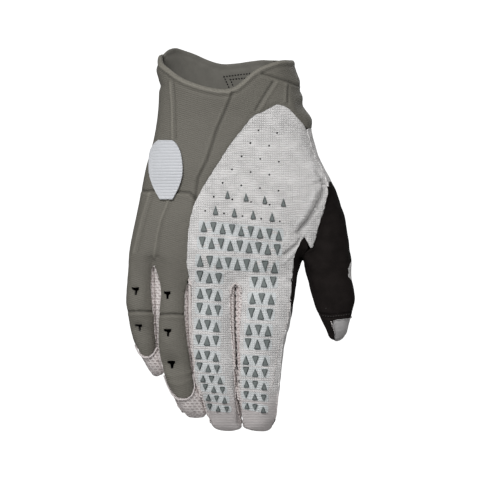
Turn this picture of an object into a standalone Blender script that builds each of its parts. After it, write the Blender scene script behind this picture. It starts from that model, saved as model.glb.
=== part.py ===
"""Motocross glove for the right hand, standing in its worn, empty shape.

The back of the hand faces -Y, the fingers hang down -Z and the thumb is at +X.
The origin is the middle of the cuff opening.  The glove is one closed skin of
quads, worked out from tables of sections, and every panel is a patch of that
skin made thick towards the inside.
"""
import math

import bmesh
import bpy
from mathutils import Vector
from mathutils.bvhtree import BVHTree

# Driving sizes, in metres
HAND_BREADTH = 0.100      # over the knuckles with the thumb left out
GLOVE_LENGTH = 0.222      # from the cuff's edge to the tip of the middle finger
HAND_DEPTH = 0.040        # back of the hand to palm, at the heel of the hand
SEAM_GAP = 0.0006         # free space between neighbouring panels
SKIN_ROUNDNESS = 2.3      # exponent of the oval sections

# Panels: how far each stands out of the skin and how thick it is, in metres
PANEL_COLUMNS = ("out", "thickness", "colour", "roughness")
PANELS = {
    "back_panel": (0.0006, 0.0022, (0.170, 0.160, 0.140), 0.75),
    "knit_panel": (0.0000, 0.0013, (0.600, 0.590, 0.585), 0.85),
    "palm_panel": (0.0000, 0.0012, (0.016, 0.012, 0.011), 0.60),
    "cuff_palm_panel": (0.0003, 0.0020, (0.130, 0.135, 0.125), 0.90),
    "thumb_wrap": (0.0000, 0.0012, (0.016, 0.012, 0.011), 0.60),
    "thumb_tip_patch": (0.0000, 0.0012, (0.600, 0.590, 0.585), 0.85),
    "gusset_pinky_ring": (0.0000, 0.0011, (0.680, 0.610, 0.610), 0.80),
    "gusset_ring_middle": (0.0000, 0.0011, (0.680, 0.610, 0.610), 0.80),
    "gusset_middle_index": (0.0000, 0.0011, (0.680, 0.610, 0.610), 0.80),
}

# Rows of the hand from the cuff's edge to where the fingers part.
# Across and down are shares of the hand's breadth and of the glove's length.
BODY_COLUMNS = ("left", "ring", "middle", "index", "strip", "thumb", "right")
BODY_ACROSS = {
    "rim": (-0.424, -0.267, -0.021, 0.139, 0.267, 0.313, 0.355),
    "cuff": (-0.418, -0.249, 0.023, 0.186, 0.302, 0.342, 0.390),
    "knit_top": (-0.426, -0.226, 0.117, 0.278, 0.389, 0.429, 0.461),
    "wrist": (-0.452, -0.238, 0.006, 0.249, 0.418, 0.470, 0.493),
    "heel": (-0.496, -0.284, -0.093, 0.209, 0.458, 0.539, 0.566),
    "hinge": (-0.521, -0.342, -0.177, 0.133, 0.452, 0.557, 0.612),
    "back": (-0.555, -0.389, -0.239, 0.064, 0.412, 0.519, 0.659),
    "tongue": (-0.584, -0.432, -0.254, 0.029, 0.415, 0.460, 0.686),
    "thumb": (-0.594, -0.447, -0.261, 0.023, 0.355, 0.390, 0.687),
    "fingers": (-0.596, -0.454, -0.242, 0.021, 0.349, 0.371, 0.379),
}
BODY_DOWN = {
    "rim": (0.020, -0.033, -0.057, -0.005, 0.019, 0.022, 0.023),
    "cuff": (-0.040, -0.078, -0.089, -0.052, -0.039, -0.039, -0.044),
    "knit_top": (-0.112, -0.131, -0.122, -0.093, -0.133, -0.154, -0.152),
    "wrist": (-0.185, -0.201, -0.187, -0.183, -0.204, -0.214, -0.219),
    "heel": (-0.256, -0.264, -0.256, -0.251, -0.266, -0.277, -0.282),
    "hinge": (-0.314, -0.317, -0.317, -0.319, -0.321, -0.321, -0.321),
    "back": (-0.389, -0.389, -0.384, -0.397, -0.384, -0.381, -0.384),
    "tongue": (-0.452, -0.452, -0.462, -0.478, -0.430, -0.466, -0.457),
    "thumb": (-0.485, -0.479, -0.502, -0.520, -0.486, -0.489, -0.502),
    "fingers": (-0.517, -0.499, -0.545, -0.551, -0.536, -0.533, -0.530),
}

# Depths of the rows, as shares of the hand's depth
DEPTH_COLUMNS = ("front", "rear", "web", "crease")
BODY_DEPTH = {
    "rim": (0.600, 0.640, 0.00, 0.000),
    "cuff": (0.560, 0.600, 0.00, 0.000),
    "knit_top": (0.510, 0.560, 0.00, 0.000),
    "wrist": (0.480, 0.520, 0.00, 0.000),
    "heel": (0.470, 0.540, 0.00, -0.010),
    "hinge": (0.460, 0.560, 0.00, 0.030),
    "back": (0.440, 0.520, 0.02, -0.010),
    "tongue": (0.400, 0.450, 0.06, 0.000),
    "thumb": (0.370, 0.410, 0.12, 0.000),
    "fingers": (0.320, 0.340, 0.30, 0.000),
}

# The side of the thumb: an oval arc from the back round to the palm.
# Middle across is a share of the breadth, the others of the depth and degrees.
ARC_COLUMNS = ("middle", "set_back", "half_depth", "front_angle", "rear_angle")
THUMB_ARC = {
    "rim": (-0.035, 0.00, 0.620, -26, 50),
    "cuff": (-0.020, 0.00, 0.580, -24, 50),
    "knit_top": (0.020, 0.00, 0.540, -22, 52),
    "wrist": (0.030, 0.00, 0.500, -20, 54),
    "heel": (0.120, 0.04, 0.500, -22, 66),
    "hinge": (0.380, 0.14, 0.430, -50, 96),
    "back": (0.500, 0.22, 0.370, -95, 122),
    "tongue": (0.550, 0.26, 0.350, -130, 138),
    "thumb": (0.560, 0.27, 0.345, -152, 150),
}

# The palm side of the cuff's edge: across and down for pinky, ring, middle, index
PALM_RIM_ACROSS = (-0.340, -0.230, -0.060, 0.150)
PALM_RIM_DOWN = (0.054, 0.044, 0.016, 0.026)

# Fingers: a row per section with down, left edge and right edge as shares
FINGER_COLUMNS = ("down", "left", "right", "arch")
FINGERS = {
    "pinky": (
        (-0.551, -0.604, -0.455, -0.000),
        (-0.583, -0.610, -0.453, -0.000),
        (-0.609, -0.612, -0.452, -0.000),
        (-0.631, -0.601, -0.450, -0.000),
        (-0.653, -0.594, -0.448, -0.000),
        (-0.671, -0.587, -0.447, -0.000),
        (-0.692, -0.577, -0.443, -0.009),
        (-0.718, -0.558, -0.435, -0.022),
        (-0.750, -0.528, -0.416, -0.013),
        (-0.773, -0.498, -0.399, -0.005),
    ),
    "ring": (
        (-0.572, -0.432, -0.252, -0.000),
        (-0.604, -0.433, -0.258, -0.000),
        (-0.637, -0.434, -0.263, -0.000),
        (-0.664, -0.436, -0.259, -0.000),
        (-0.692, -0.436, -0.253, -0.000),
        (-0.724, -0.432, -0.242, -0.000),
        (-0.758, -0.416, -0.231, -0.000),
        (-0.789, -0.399, -0.215, -0.016),
        (-0.820, -0.374, -0.195, -0.027),
        (-0.852, -0.336, -0.174, -0.018),
        (-0.875, -0.305, -0.159, -0.010),
        (-0.890, -0.287, -0.154, -0.004),
    ),
    "middle": (
        (-0.580, -0.237, 0.009, -0.000),
        (-0.622, -0.238, 0.006, -0.000),
        (-0.666, -0.235, 0.007, -0.000),
        (-0.711, -0.230, 0.013, -0.000),
        (-0.758, -0.217, 0.021, -0.000),
        (-0.805, -0.201, 0.032, -0.000),
        (-0.849, -0.177, 0.044, -0.000),
        (-0.888, -0.150, 0.052, -0.000),
        (-0.921, -0.116, 0.057, -0.000),
    ),
    "index": (
        (-0.583, 0.030, 0.368, -0.000),
        (-0.622, 0.027, 0.356, -0.000),
        (-0.666, 0.027, 0.338, -0.000),
        (-0.703, 0.030, 0.312, -0.000),
        (-0.745, 0.035, 0.296, -0.000),
        (-0.789, 0.042, 0.289, -0.000),
        (-0.831, 0.050, 0.276, -0.000),
        (-0.870, 0.059, 0.269, -0.000),
        (-0.904, 0.065, 0.259, -0.000),
        (-0.927, 0.071, 0.238, -0.000),
    ),
    "thumb": (
        (-0.520, 0.418, 0.684, -0.000),
        (-0.543, 0.438, 0.682, -0.000),
        (-0.567, 0.450, 0.703, -0.000),
        (-0.593, 0.466, 0.710, -0.000),
        (-0.622, 0.486, 0.706, -0.000),
        (-0.645, 0.509, 0.695, -0.000),
        (-0.666, 0.532, 0.681, -0.000),
        (-0.685, 0.556, 0.660, -0.000),
    ),
}
FINGER_TIPS = {
    "pinky": (-0.798, -0.441),
    "ring": (-0.907, -0.215),
    "middle": (-0.945, -0.014),
    "index": (-0.945, 0.154),
    "thumb": (-0.709, 0.608),
}
# Depth against width at the root and at the tip, set back of root and tip
SHAPE_COLUMNS = ("root_ratio", "tip_ratio", "root_set_back", "tip_set_back")
FINGER_SHAPE = {
    "pinky": (1.00, 1.00, 0.060, 0.360),
    "ring": (1.00, 1.00, 0.020, 0.430),
    "middle": (0.88, 0.95, 0.000, 0.440),
    "index": (0.74, 0.90, 0.020, 0.360),
    "thumb": (0.98, 1.00, 0.300, 0.400),
}
FINGER_ORDER = ("pinky", "ring", "middle", "index")

# Small round holes in the knit: across and down of each row's first hole, and their number
HOLE_RADIUS = 0.0008
HOLE_SIDES = 8
HOLE_STEP = (0.1073, -0.0068)
HOLE_ROWS = (
    (0.153, -0.160, 2),
    (0.107, -0.193, 2),
    (0.056, -0.227, 3),
    (0.001, -0.261, 3),
    (-0.053, -0.296, 4),
    (-0.105, -0.332, 4),
    (-0.154, -0.369, 5),
)

# Vents in the backs of the pinky and ring fingers: a bar with a stem under it
VENT_SIZE = 0.0036
VENT_OUTLINE = (
    (-0.50, 0.50), (-0.50, 0.18), (-0.16, 0.10), (-0.14, -0.55),
    (0.14, -0.55), (0.16, 0.10), (0.50, 0.18), (0.50, 0.50),
)
VENTS = (
    (-0.561, -0.578),
    (-0.541, -0.675),
    (-0.377, -0.589),
    (-0.374, -0.687),
    (-0.351, -0.770),
)

# Plain raised plate on the back of the hand: place, and half width at each height
BADGE = (0.0028, 0.0016, (0.560, 0.570, 0.600), 0.50)
BADGE_MIDDLE = (-0.372, -0.261)
BADGE_COLUMNS = 6
BADGE_OUTLINE = (
    (0.0758, 0.0435),
    (0.0549, 0.0754),
    (0.0340, 0.0870),
    (0.0131, 0.0928),
    (-0.0078, 0.0928),
    (-0.0287, 0.0841),
    (-0.0523, 0.0638),
    (-0.0784, 0.0348),
)

COLUMNS_PER_FINGER = 4
FIRST_COLUMN = 0.10       # share of the pinky where the first column lies
CREASE_END = 9            # column where the hinge crease has faded out
SIDE_POINTS = 3
THUMB_SPLIT = -104        # turn, in degrees, where the light patch on the thumb's tip starts
CURL_POWER = 2.2          # how late along a finger its bend comes
TIP_SPREAD = 1.16         # above one the fingertips are blunter
BACK_WRAP = (46, 62)      # half turn, in degrees, that a finger's back panel covers at root and tip
LAST_HAND = COLUMNS_PER_FINGER * 4
LAST_THUMB = COLUMNS_PER_FINGER * 5
SUBROWS = {
    "rim": 2, "cuff": 2, "knit_top": 2, "wrist": 2, "heel": 2,
    "hinge": 2, "back": 2, "tongue": 1, "thumb": 2,
}


def clear_scene():
    for item in list(bpy.data.objects):
        bpy.data.objects.remove(item, do_unlink=True)


def mix(a, b, share):
    return a + (b - a) * share


def through(values, at):
    """A smooth curve through values at 0, 1, 2 and so on."""
    last = len(values) - 1
    low = min(max(int(math.floor(at)), 0), last - 1)
    t = at - low
    before = values[max(low - 1, 0)]
    start = values[low]
    end = values[low + 1]
    after = values[min(low + 2, last)]
    slope_in = 0.5 * (end - before)
    slope_out = 0.5 * (after - start)
    return ((2 * t ** 3 - 3 * t ** 2 + 1) * start + (t ** 3 - 2 * t ** 2 + t) * slope_in
            + (3 * t ** 2 - 2 * t ** 3) * end + (t ** 3 - t ** 2) * slope_out)


def column_of(table, index, at):
    return through([row[index] for row in table.values()], at)


def oval(share):
    """Height of the oval section at a share of its half width."""
    share = min(abs(share), 1.0)
    return (1.0 - share ** SKIN_ROUNDNESS) ** (1.0 / SKIN_ROUNDNESS)


class Skin:
    """The outside of the glove: points and quads, each quad with its panel."""

    def __init__(self):
        self.points = []
        self.faces = []

    def add(self, x, y, z):
        self.points.append(Vector((x, y, z)))
        return len(self.points) - 1

    def bridge(self, upper, lower, panels):
        count = len(upper)
        for i in range(count):
            j = (i + 1) % count
            self.faces.append(((upper[i], lower[i], lower[j], upper[j]), panels[i]))


def loop_of(ring):
    """Points of a ring in order: back of the hand, right side, palm, left side."""
    return ring["d"] + ring["r"] + ring["p"][::-1] + ring["l"][::-1]


def dorsal_keys(at):
    xs = [column_of(BODY_ACROSS, i, at) * HAND_BREADTH for i in range(len(BODY_COLUMNS))]
    zs = [column_of(BODY_DOWN, i, at) * GLOVE_LENGTH for i in range(len(BODY_COLUMNS))]
    return xs, zs


def spread(keys):
    """Spread the key columns over the hand's 17 columns."""
    left, ring, middle, index, strip, thumb, right = keys
    marks = [mix(left, ring, FIRST_COLUMN), ring, middle, index, strip, thumb]
    out = []
    for number, steps in enumerate((4, 4, 4, 3, 1)):
        out += [through(marks, number + i / steps) for i in range(steps)]
    return out + [thumb]


def web_dip(column, amount):
    """Share of the depth left at a column; least between two fingers."""
    if column <= 0 or column >= LAST_HAND:
        return 1.0
    wave = 0.5 + 0.5 * math.cos(2 * math.pi * column / COLUMNS_PER_FINGER)
    return 1.0 - amount * wave


def body_ring(skin, at, with_thumb):
    keys_x, keys_z = dorsal_keys(at)
    left_x, right_x = keys_x[0], keys_x[-1]
    left_z, right_z = keys_z[0], keys_z[-1]
    front = column_of(BODY_DEPTH, 0, at) * HAND_DEPTH
    rear = column_of(BODY_DEPTH, 1, at) * HAND_DEPTH
    web = column_of(BODY_DEPTH, 2, at)
    crease = column_of(BODY_DEPTH, 3, at) * HAND_DEPTH
    xs = spread(keys_x)
    zs = spread(keys_z)
    last_row = len(BODY_ACROSS) - 1
    hand_right = mix(right_x, keys_x[5] + 0.004, min(max(at - 4.0, 0.0), 1.0))
    if at >= last_row - 1e-6:
        hand_right = right_x
    middle_x = 0.5 * (left_x + hand_right)
    half = 0.5 * (hand_right - left_x)
    ring = {"d": [], "r": [], "p": [], "l": []}
    front_ys = []
    for j, x in enumerate(xs):
        fade = min(max((CREASE_END - j) / 2.0, 0.0), 1.0)
        front_ys.append(crease * fade - front * oval((x - middle_x) / half) * web_dip(j, web))

    below = min(max((at - 6.0) / (last_row - 6.0), 0.0), 1.0)
    rim = max(1.0 - at, 0.0)
    arc_at = min(at, last_row - 1)
    arc_x = column_of(THUMB_ARC, 0, arc_at) * HAND_BREADTH
    arc_y = column_of(THUMB_ARC, 1, arc_at) * HAND_DEPTH
    arc_deep = column_of(THUMB_ARC, 2, arc_at) * HAND_DEPTH
    angle_front = math.radians(column_of(THUMB_ARC, 3, arc_at))
    angle_rear = math.radians(column_of(THUMB_ARC, 4, arc_at))
    arc_half = right_x - arc_x
    if with_thumb:
        rear_x = arc_x + arc_half * math.cos(angle_rear)
        rear_y = arc_y + arc_deep * math.sin(angle_rear)
    else:
        rear_x = xs[-1]
        rear_y = rear * oval((rear_x - middle_x) / half)

    even_left = mix(left_x, rear_x, 0.04)
    palm_xs = []
    palm_zs = []
    for j in range(LAST_HAND + 1):
        share = j / LAST_HAND
        even_x = mix(even_left, rear_x, share)
        rim_x = through(list(PALM_RIM_ACROSS) + [rear_x / HAND_BREADTH], share * 4) * HAND_BREADTH
        even_x = mix(even_x, rim_x, rim)
        even_z = mix(left_z, right_z, share)
        rim_z = through(list(PALM_RIM_DOWN) + [0.027], share * 4) * GLOVE_LENGTH
        even_z = mix(even_z, rim_z, rim)
        palm_xs.append(mix(even_x, xs[j], below))
        palm_zs.append(mix(even_z, zs[j], below))
    if with_thumb:
        palm_xs[-1] = rear_x
    rear_edge = rear * oval((palm_xs[-1] - middle_x) / half)
    for j, x in enumerate(palm_xs):
        pull = (j / LAST_HAND) ** 3
        y = rear * oval((x - middle_x) / half) * web_dip(j, web) + (rear_y - rear_edge) * pull
        ring["p"].append(skin.add(x, y, palm_zs[j]))
    for j, x in enumerate(xs):
        y = front_ys[j]
        if with_thumb and j == LAST_HAND:
            y = mix(y, arc_y + arc_deep * math.sin(angle_front), 0.5)
        ring["d"].append(skin.add(x, y, zs[j]))

    left_front = skin.points[ring["d"][0]]
    left_rear = skin.points[ring["p"][0]]
    for k in range(1, SIDE_POINTS + 1):
        share = k / (SIDE_POINTS + 1)
        bow = math.sin(math.pi * share)
        x = mix(mix(left_front.x, left_rear.x, share), left_x, bow ** 0.7)
        y = mix(left_front.y, left_rear.y, share)
        z = mix(left_front.z, left_rear.z, share)
        ring["l"].append(skin.add(x, y, z))

    if not with_thumb:
        a = skin.points[ring["d"][-1]]
        b = skin.points[ring["p"][-1]]
        for k in range(1, SIDE_POINTS + 1):
            share = k / (SIDE_POINTS + 1)
            bow = math.sin(math.pi * share)
            ring["r"].append(skin.add(mix(mix(a.x, b.x, share), hand_right, bow ** 0.7),
                                      mix(a.y, b.y, share), mix(a.z, b.z, share)))
        return ring

    steps = 2 * COLUMNS_PER_FINGER + SIDE_POINTS + 1
    start = skin.points[ring["d"][-1]]
    end = skin.points[ring["p"][-1]]
    extra = []
    for k in range(1, steps):
        share = k / steps
        angle = mix(angle_front, angle_rear, share)
        z = mix(mix(start.z, right_z, min(2 * share, 1.0)), end.z, max(2 * share - 1.0, 0.0))
        extra.append(skin.add(arc_x + arc_half * math.cos(angle), arc_y + arc_deep * math.sin(angle), z))
    ring["d"] += extra[:COLUMNS_PER_FINGER]
    ring["r"] = extra[COLUMNS_PER_FINGER:COLUMNS_PER_FINGER + SIDE_POINTS]
    ring["p"] += extra[COLUMNS_PER_FINGER + SIDE_POINTS:][::-1]
    return ring


def web_line(skin, front, rear, drop):
    """Points from the back of the hand to the palm between two fingers."""
    a = skin.points[front].copy()
    b = skin.points[rear].copy()
    out = []
    for k in range(1, SIDE_POINTS + 1):
        share = k / (SIDE_POINTS + 1)
        spot = a.lerp(b, share)
        spot.z -= drop * math.sin(math.pi * share)
        out.append(skin.add(*spot))
    return out


def finger_lean(name, share):
    """Angle by which a finger bends back towards the palm at a share of its length."""
    rows = FINGERS[name]
    length = (rows[0][0] - rows[-1][0]) * GLOVE_LENGTH
    rise = (FINGER_SHAPE[name][3] - FINGER_SHAPE[name][2]) * HAND_DEPTH
    return math.atan(CURL_POWER * rise * share ** (CURL_POWER - 1.0) / length)


def finger_ring(skin, name, row, share):
    down, left, right, arch = row
    root_ratio, tip_ratio, root_back, tip_back = FINGER_SHAPE[name]
    middle = 0.5 * (left + right) * HAND_BREADTH
    half = 0.5 * (right - left) * HAND_BREADTH
    deep = half * mix(root_ratio, tip_ratio, share)
    back = mix(root_back, tip_back, share ** CURL_POWER) * HAND_DEPTH
    lean = finger_lean(name, share)
    wrap = mix(BACK_WRAP[0], BACK_WRAP[1], min(2.0 * share, 1.0))
    first = -90 - wrap
    last = -90 + wrap
    turns = [mix(first, last, i / COLUMNS_PER_FINGER) for i in range(COLUMNS_PER_FINGER + 1)]
    if name == "index":
        strip = mix(-38, -24, share)
        last = strip + 14
        turns = [mix(first, strip, i / 3) for i in range(COLUMNS_PER_FINGER)] + [last]
    if name == "thumb":
        turns = [first, mix(first, THUMB_SPLIT, 0.5), THUMB_SPLIT, mix(THUMB_SPLIT, last, 0.5), last]
    angles = {
        "d": turns,
        "r": [mix(last, 45, k / 4) for k in (1, 2, 3)],
        "p": [135, 112.5, 90, 67.5, 45],
        "l": [mix(first, -225, k / 4) for k in (1, 2, 3)],
    }
    across = [2 * i / COLUMNS_PER_FINGER - 1 for i in range(COLUMNS_PER_FINGER + 1)]
    arches = {"d": [arch * (1 - x ** 2) for x in across]}
    ring = {}
    for part, turns in angles.items():
        ring[part] = []
        lifts = arches.get(part, [0.0] * len(turns))
        for turn, lift in zip(turns, lifts):
            c = math.cos(math.radians(turn))
            s = math.sin(math.radians(turn))
            reach = (abs(c) ** SKIN_ROUNDNESS + abs(s) ** SKIN_ROUNDNESS) ** (-1 / SKIN_ROUNDNESS)
            y = deep * s * reach
            ring[part].append(skin.add(middle + half * c * reach, back + y * math.cos(lean),
                                       (down + lift) * GLOVE_LENGTH + y * math.sin(lean)))
    return ring


def finger_cap(skin, ring, name, panels):
    """Close a finger with a domed patch of four by four quads."""
    tip_down, tip_across = FINGER_TIPS[name]
    lean = finger_lean(name, 1.0)
    axis = Vector((0.0, math.sin(lean), -math.cos(lean)))
    n = COLUMNS_PER_FINGER
    grid = {}
    for i in range(n + 1):
        grid[i, 0] = ring["d"][i]
        grid[i, n] = ring["p"][i]
    for k in range(SIDE_POINTS):
        grid[0, k + 1] = ring["l"][k]
        grid[n, k + 1] = ring["r"][k]
    pts = skin.points
    centre = pts[grid[0, 2]].lerp(pts[grid[n, 2]], 0.5)
    height = (centre.z - tip_down * GLOVE_LENGTH) / math.cos(lean)
    sideways = tip_across * HAND_BREADTH - centre.x
    for i in range(1, n):
        for j in range(1, n):
            share_i = 0.5 + (i / n - 0.5) * TIP_SPREAD
            share_j = 0.5 + (j / n - 0.5) * TIP_SPREAD
            across = pts[grid[0, 2]].lerp(pts[grid[n, 2]], share_i)
            along = pts[grid[2, 0]].lerp(pts[grid[2, n]], share_j)
            spot = across + along - centre
            reach = min(TIP_SPREAD * math.hypot(2 * i / n - 1, 2 * j / n - 1), 1.0)
            lift = math.sqrt(1.0 - reach ** 2)
            spot += axis * height * lift
            spot.x += sideways * lift
            grid[i, j] = skin.add(*spot)
    for i in range(n):
        for j in range(n):
            face = (grid[i, j], grid[i, j + 1], grid[i + 1, j + 1], grid[i + 1, j])
            plain = name == "thumb" and i < 2
            skin.faces.append((face, panels[-1] if plain else panels[j]))


def body_panels(row_name, sub):
    """Panel of every segment of a body ring below the named row."""
    names = list(BODY_ACROSS)
    row = names.index(row_name)
    dorsal = []
    for j in range(LAST_THUMB):
        if j < 8:
            panel = "back_panel"
        elif j < LAST_HAND:
            panel = "back_panel" if row < 2 else "knit_panel"
            if j == LAST_HAND - 1 and row >= names.index("tongue"):
                panel = "palm_panel"
        else:
            panel = "back_panel" if row < 2 else "thumb_wrap"
        dorsal.append(panel)
    rear = "cuff_palm_panel" if row < 2 else "palm_panel"
    thumb_rear = "cuff_palm_panel" if row < 2 else "thumb_wrap"
    right = [thumb_rear] * (SIDE_POINTS + 1)
    palm = [thumb_rear] * COLUMNS_PER_FINGER + [rear] * LAST_HAND
    left = [rear] + ["back_panel"] * SIDE_POINTS
    return dorsal + right + palm + left


def hand_panels():
    """Panels of the rows between the thumb's crotch and the fingers'."""
    dorsal = ["back_panel"] * 8 + ["knit_panel"] * 7 + ["palm_panel"]
    rest = SIDE_POINTS + 1 + LAST_HAND + 1
    return dorsal + ["palm_panel"] * rest + ["back_panel"] * SIDE_POINTS


FINGER_PANELS = {
    # back, right side, left side, and the panel that takes the tip's back
    "pinky": ("back_panel", "gusset_pinky_ring", "back_panel", "gusset_pinky_ring"),
    "ring": ("back_panel", "gusset_ring_middle", "gusset_pinky_ring", "gusset_ring_middle"),
    "middle": ("knit_panel", "gusset_middle_index", "gusset_ring_middle", "knit_panel"),
    "index": ("knit_panel", "palm_panel", "gusset_middle_index", "knit_panel"),
    "thumb": ("thumb_wrap", "thumb_wrap", "thumb_wrap", "thumb_tip_patch"),
}
TIP_ROWS = {"pinky": 2, "ring": 3, "middle": 0, "index": 0, "thumb": 2}


def build_finger(skin, name, root):
    back, right, left, tip = FINGER_PANELS[name]
    rows = FINGERS[name]
    upper = root
    side = SIDE_POINTS + 1
    for number, row in enumerate(rows):
        share = (number + 1) / len(rows)
        lower = finger_ring(skin, name, row, share)
        at_tip = number >= len(rows) - TIP_ROWS[name]
        face_back = tip if at_tip else back
        palm = "thumb_wrap" if name == "thumb" else "palm_panel"
        dorsal = [face_back] * COLUMNS_PER_FINGER
        if name == "thumb":
            dorsal[:2] = [back] * 2
        if name == "index":
            dorsal[-1] = "palm_panel"
        right_side = [right] * side
        left_side = [left] * side
        if name == "pinky":
            left_side = [palm] + [face_back] * SIDE_POINTS
        if name == "thumb" and at_tip:
            right_side = [tip] * SIDE_POINTS + [right]
        segments = dorsal + right_side + [palm] * COLUMNS_PER_FINGER + left_side
        skin.bridge(loop_of(upper), loop_of(lower), segments)
        upper = lower
    palm = "thumb_wrap" if name == "thumb" else "palm_panel"
    finger_cap(skin, upper, name, [tip, tip, palm, palm])


def build_skin():
    skin = Skin()
    names = list(BODY_ACROSS)
    upper = None
    for row, name in enumerate(names[:-2]):
        for sub in range(SUBROWS[name]):
            at = row + sub / SUBROWS[name]
            ring = body_ring(skin, at, True)
            if upper:
                skin.bridge(loop_of(upper), loop_of(ring), panels)
            panels = body_panels(name, sub)
            upper = ring
    thumb_row = names.index("thumb")
    ring = body_ring(skin, thumb_row, True)
    skin.bridge(loop_of(upper), loop_of(ring), panels)
    web = web_line(skin, ring["d"][LAST_HAND], ring["p"][LAST_HAND], 0.001)
    thumb_root = {"d": ring["d"][LAST_HAND:], "r": ring["r"], "p": ring["p"][LAST_HAND:], "l": web}
    build_finger(skin, "thumb", thumb_root)
    hand = {"d": ring["d"][:LAST_HAND + 1], "r": web, "p": ring["p"][:LAST_HAND + 1], "l": ring["l"]}
    last = body_ring(skin, len(names) - 1, False)
    between = {}
    for part in ("d", "r", "p", "l"):
        between[part] = []
        for a, b in zip(hand[part], last[part]):
            between[part].append(skin.add(*skin.points[a].lerp(skin.points[b], 0.5)))
    skin.bridge(loop_of(hand), loop_of(between), hand_panels())
    skin.bridge(loop_of(between), loop_of(last), hand_panels())
    left = last["l"]
    for number, name in enumerate(FINGER_ORDER):
        start = number * COLUMNS_PER_FINGER
        stop = start + COLUMNS_PER_FINGER
        if name == "index":
            right = last["r"]
        else:
            right = web_line(skin, last["d"][stop], last["p"][stop], 0.001)
        root = {"d": last["d"][start:stop + 1], "r": right, "p": last["p"][start:stop + 1], "l": left}
        build_finger(skin, name, root)
        left = right
    return skin


def skin_normals(skin):
    mesh = bmesh.new()
    verts = [mesh.verts.new(p) for p in skin.points]
    for corners, panel in skin.faces:
        mesh.faces.new([verts[c] for c in corners])
    mesh.normal_update()
    normals = [v.normal.copy() for v in verts]
    tree = BVHTree.FromBMesh(mesh)
    mesh.free()
    return normals, tree


def panel_object(skin, normals, name):
    out, thickness, colour, roughness = PANELS[name]
    faces = [corners for corners, panel in skin.faces if panel == name]
    edges = {}
    for corners in faces:
        for i, a in enumerate(corners):
            b = corners[(i + 1) % 4]
            edges[a, b] = corners
    border = [(a, b) for a, b in edges if (b, a) not in edges]
    pull = {}
    for a, b in border:
        along = skin.points[b] - skin.points[a]
        for spot in (a, b):
            inward = normals[spot].cross(along).normalized()
            pull.setdefault(spot, []).append(inward)
    moved = {}
    for corners in faces:
        for c in corners:
            moved[c] = skin.points[c].copy()
    for spot, ways in pull.items():
        total = Vector()
        for way in ways:
            total += way
        size = total.length
        if size > 0.3:
            total *= 1.0 / size
            stretch = min(1.0 / max(total.dot(ways[0]), 0.5), 2.0)
            moved[spot] += total * 0.5 * SEAM_GAP * stretch
    mesh = bmesh.new()
    outer = {c: mesh.verts.new(p + normals[c] * out) for c, p in moved.items()}
    inner = {c: mesh.verts.new(p + normals[c] * (out - thickness)) for c, p in moved.items()}
    for corners in faces:
        mesh.faces.new([outer[c] for c in corners]).smooth = True
        mesh.faces.new([inner[c] for c in reversed(corners)]).smooth = True
    for a, b in border:
        mesh.faces.new([outer[b], outer[a], inner[a], inner[b]])
    return finish_object(link_mesh(mesh, name), colour, roughness)


def link_mesh(mesh, name):
    data = bpy.data.meshes.new(name)
    mesh.to_mesh(data)
    mesh.free()
    thing = bpy.data.objects.new(name, data)
    bpy.context.scene.collection.objects.link(thing)
    return thing


def on_back(tree, across, down):
    """The spot and the way out of the back of the hand at a place seen from the front."""
    start = Vector((across * HAND_BREADTH, -HAND_BREADTH, down * GLOVE_LENGTH))
    spot, normal, index, distance = tree.ray_cast(start, Vector((0.0, 1.0, 0.0)))
    return spot, normal


def prisms(tree, name, places, outline, above, below):
    """One cutter object of upright prisms standing through the back of the hand."""
    mesh = bmesh.new()
    for across, down in places:
        spot, normal = on_back(tree, across, down)
        up = Vector((0.0, 0.0, 1.0))
        up = (up - normal * up.dot(normal)).normalized()
        side = up.cross(normal)
        rims = []
        for height in (above, -below):
            rims.append([mesh.verts.new(spot + side * x + up * z + normal * height) for x, z in outline])
        count = len(outline)
        mesh.faces.new(rims[0])
        mesh.faces.new(rims[1][::-1])
        for i in range(count):
            j = (i + 1) % count
            mesh.faces.new((rims[0][j], rims[0][i], rims[1][i], rims[1][j]))
    bmesh.ops.recalc_face_normals(mesh, faces=mesh.faces)
    thing = link_mesh(mesh, name)
    thing.hide_render = True
    thing.display_type = "WIRE"
    return thing


def pierce(panel, cutter):
    cut = panel.modifiers.new("holes", "BOOLEAN")
    cut.operation = "DIFFERENCE"
    cut.solver = "EXACT"
    cut.object = cutter


def hole_places():
    places = []
    for across, down, count in HOLE_ROWS:
        places += [(across + i * HOLE_STEP[0], down + i * HOLE_STEP[1]) for i in range(count)]
    return places


def badge_object(tree):
    """A plain six-sided plate that follows the back of the hand."""
    out, thickness, colour, roughness = BADGE
    mesh = bmesh.new()
    layers = []
    for height in (out, out - thickness):
        rows = []
        for down, half in BADGE_OUTLINE:
            row = []
            for i in range(BADGE_COLUMNS + 1):
                across = BADGE_MIDDLE[0] + half * (2 * i / BADGE_COLUMNS - 1)
                spot, normal = on_back(tree, across, BADGE_MIDDLE[1] + down)
                row.append(mesh.verts.new(spot + normal * height))
            rows.append(row)
        layers.append(rows)
    top, base = layers
    last = len(BADGE_OUTLINE) - 1
    for r in range(last):
        for i in range(BADGE_COLUMNS):
            mesh.faces.new((top[r][i], top[r + 1][i], top[r + 1][i + 1], top[r][i + 1])).smooth = True
            mesh.faces.new((base[r][i + 1], base[r + 1][i + 1], base[r + 1][i], base[r][i])).smooth = True
        for i in (0, BADGE_COLUMNS):
            mesh.faces.new((top[r][i], top[r + 1][i], base[r + 1][i], base[r][i]))
    for r in (0, last):
        for i in range(BADGE_COLUMNS):
            mesh.faces.new((top[r][i], top[r][i + 1], base[r][i + 1], base[r][i]))
    bmesh.ops.recalc_face_normals(mesh, faces=mesh.faces)
    return finish_object(link_mesh(mesh, "back_badge"), colour, roughness)


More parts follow.
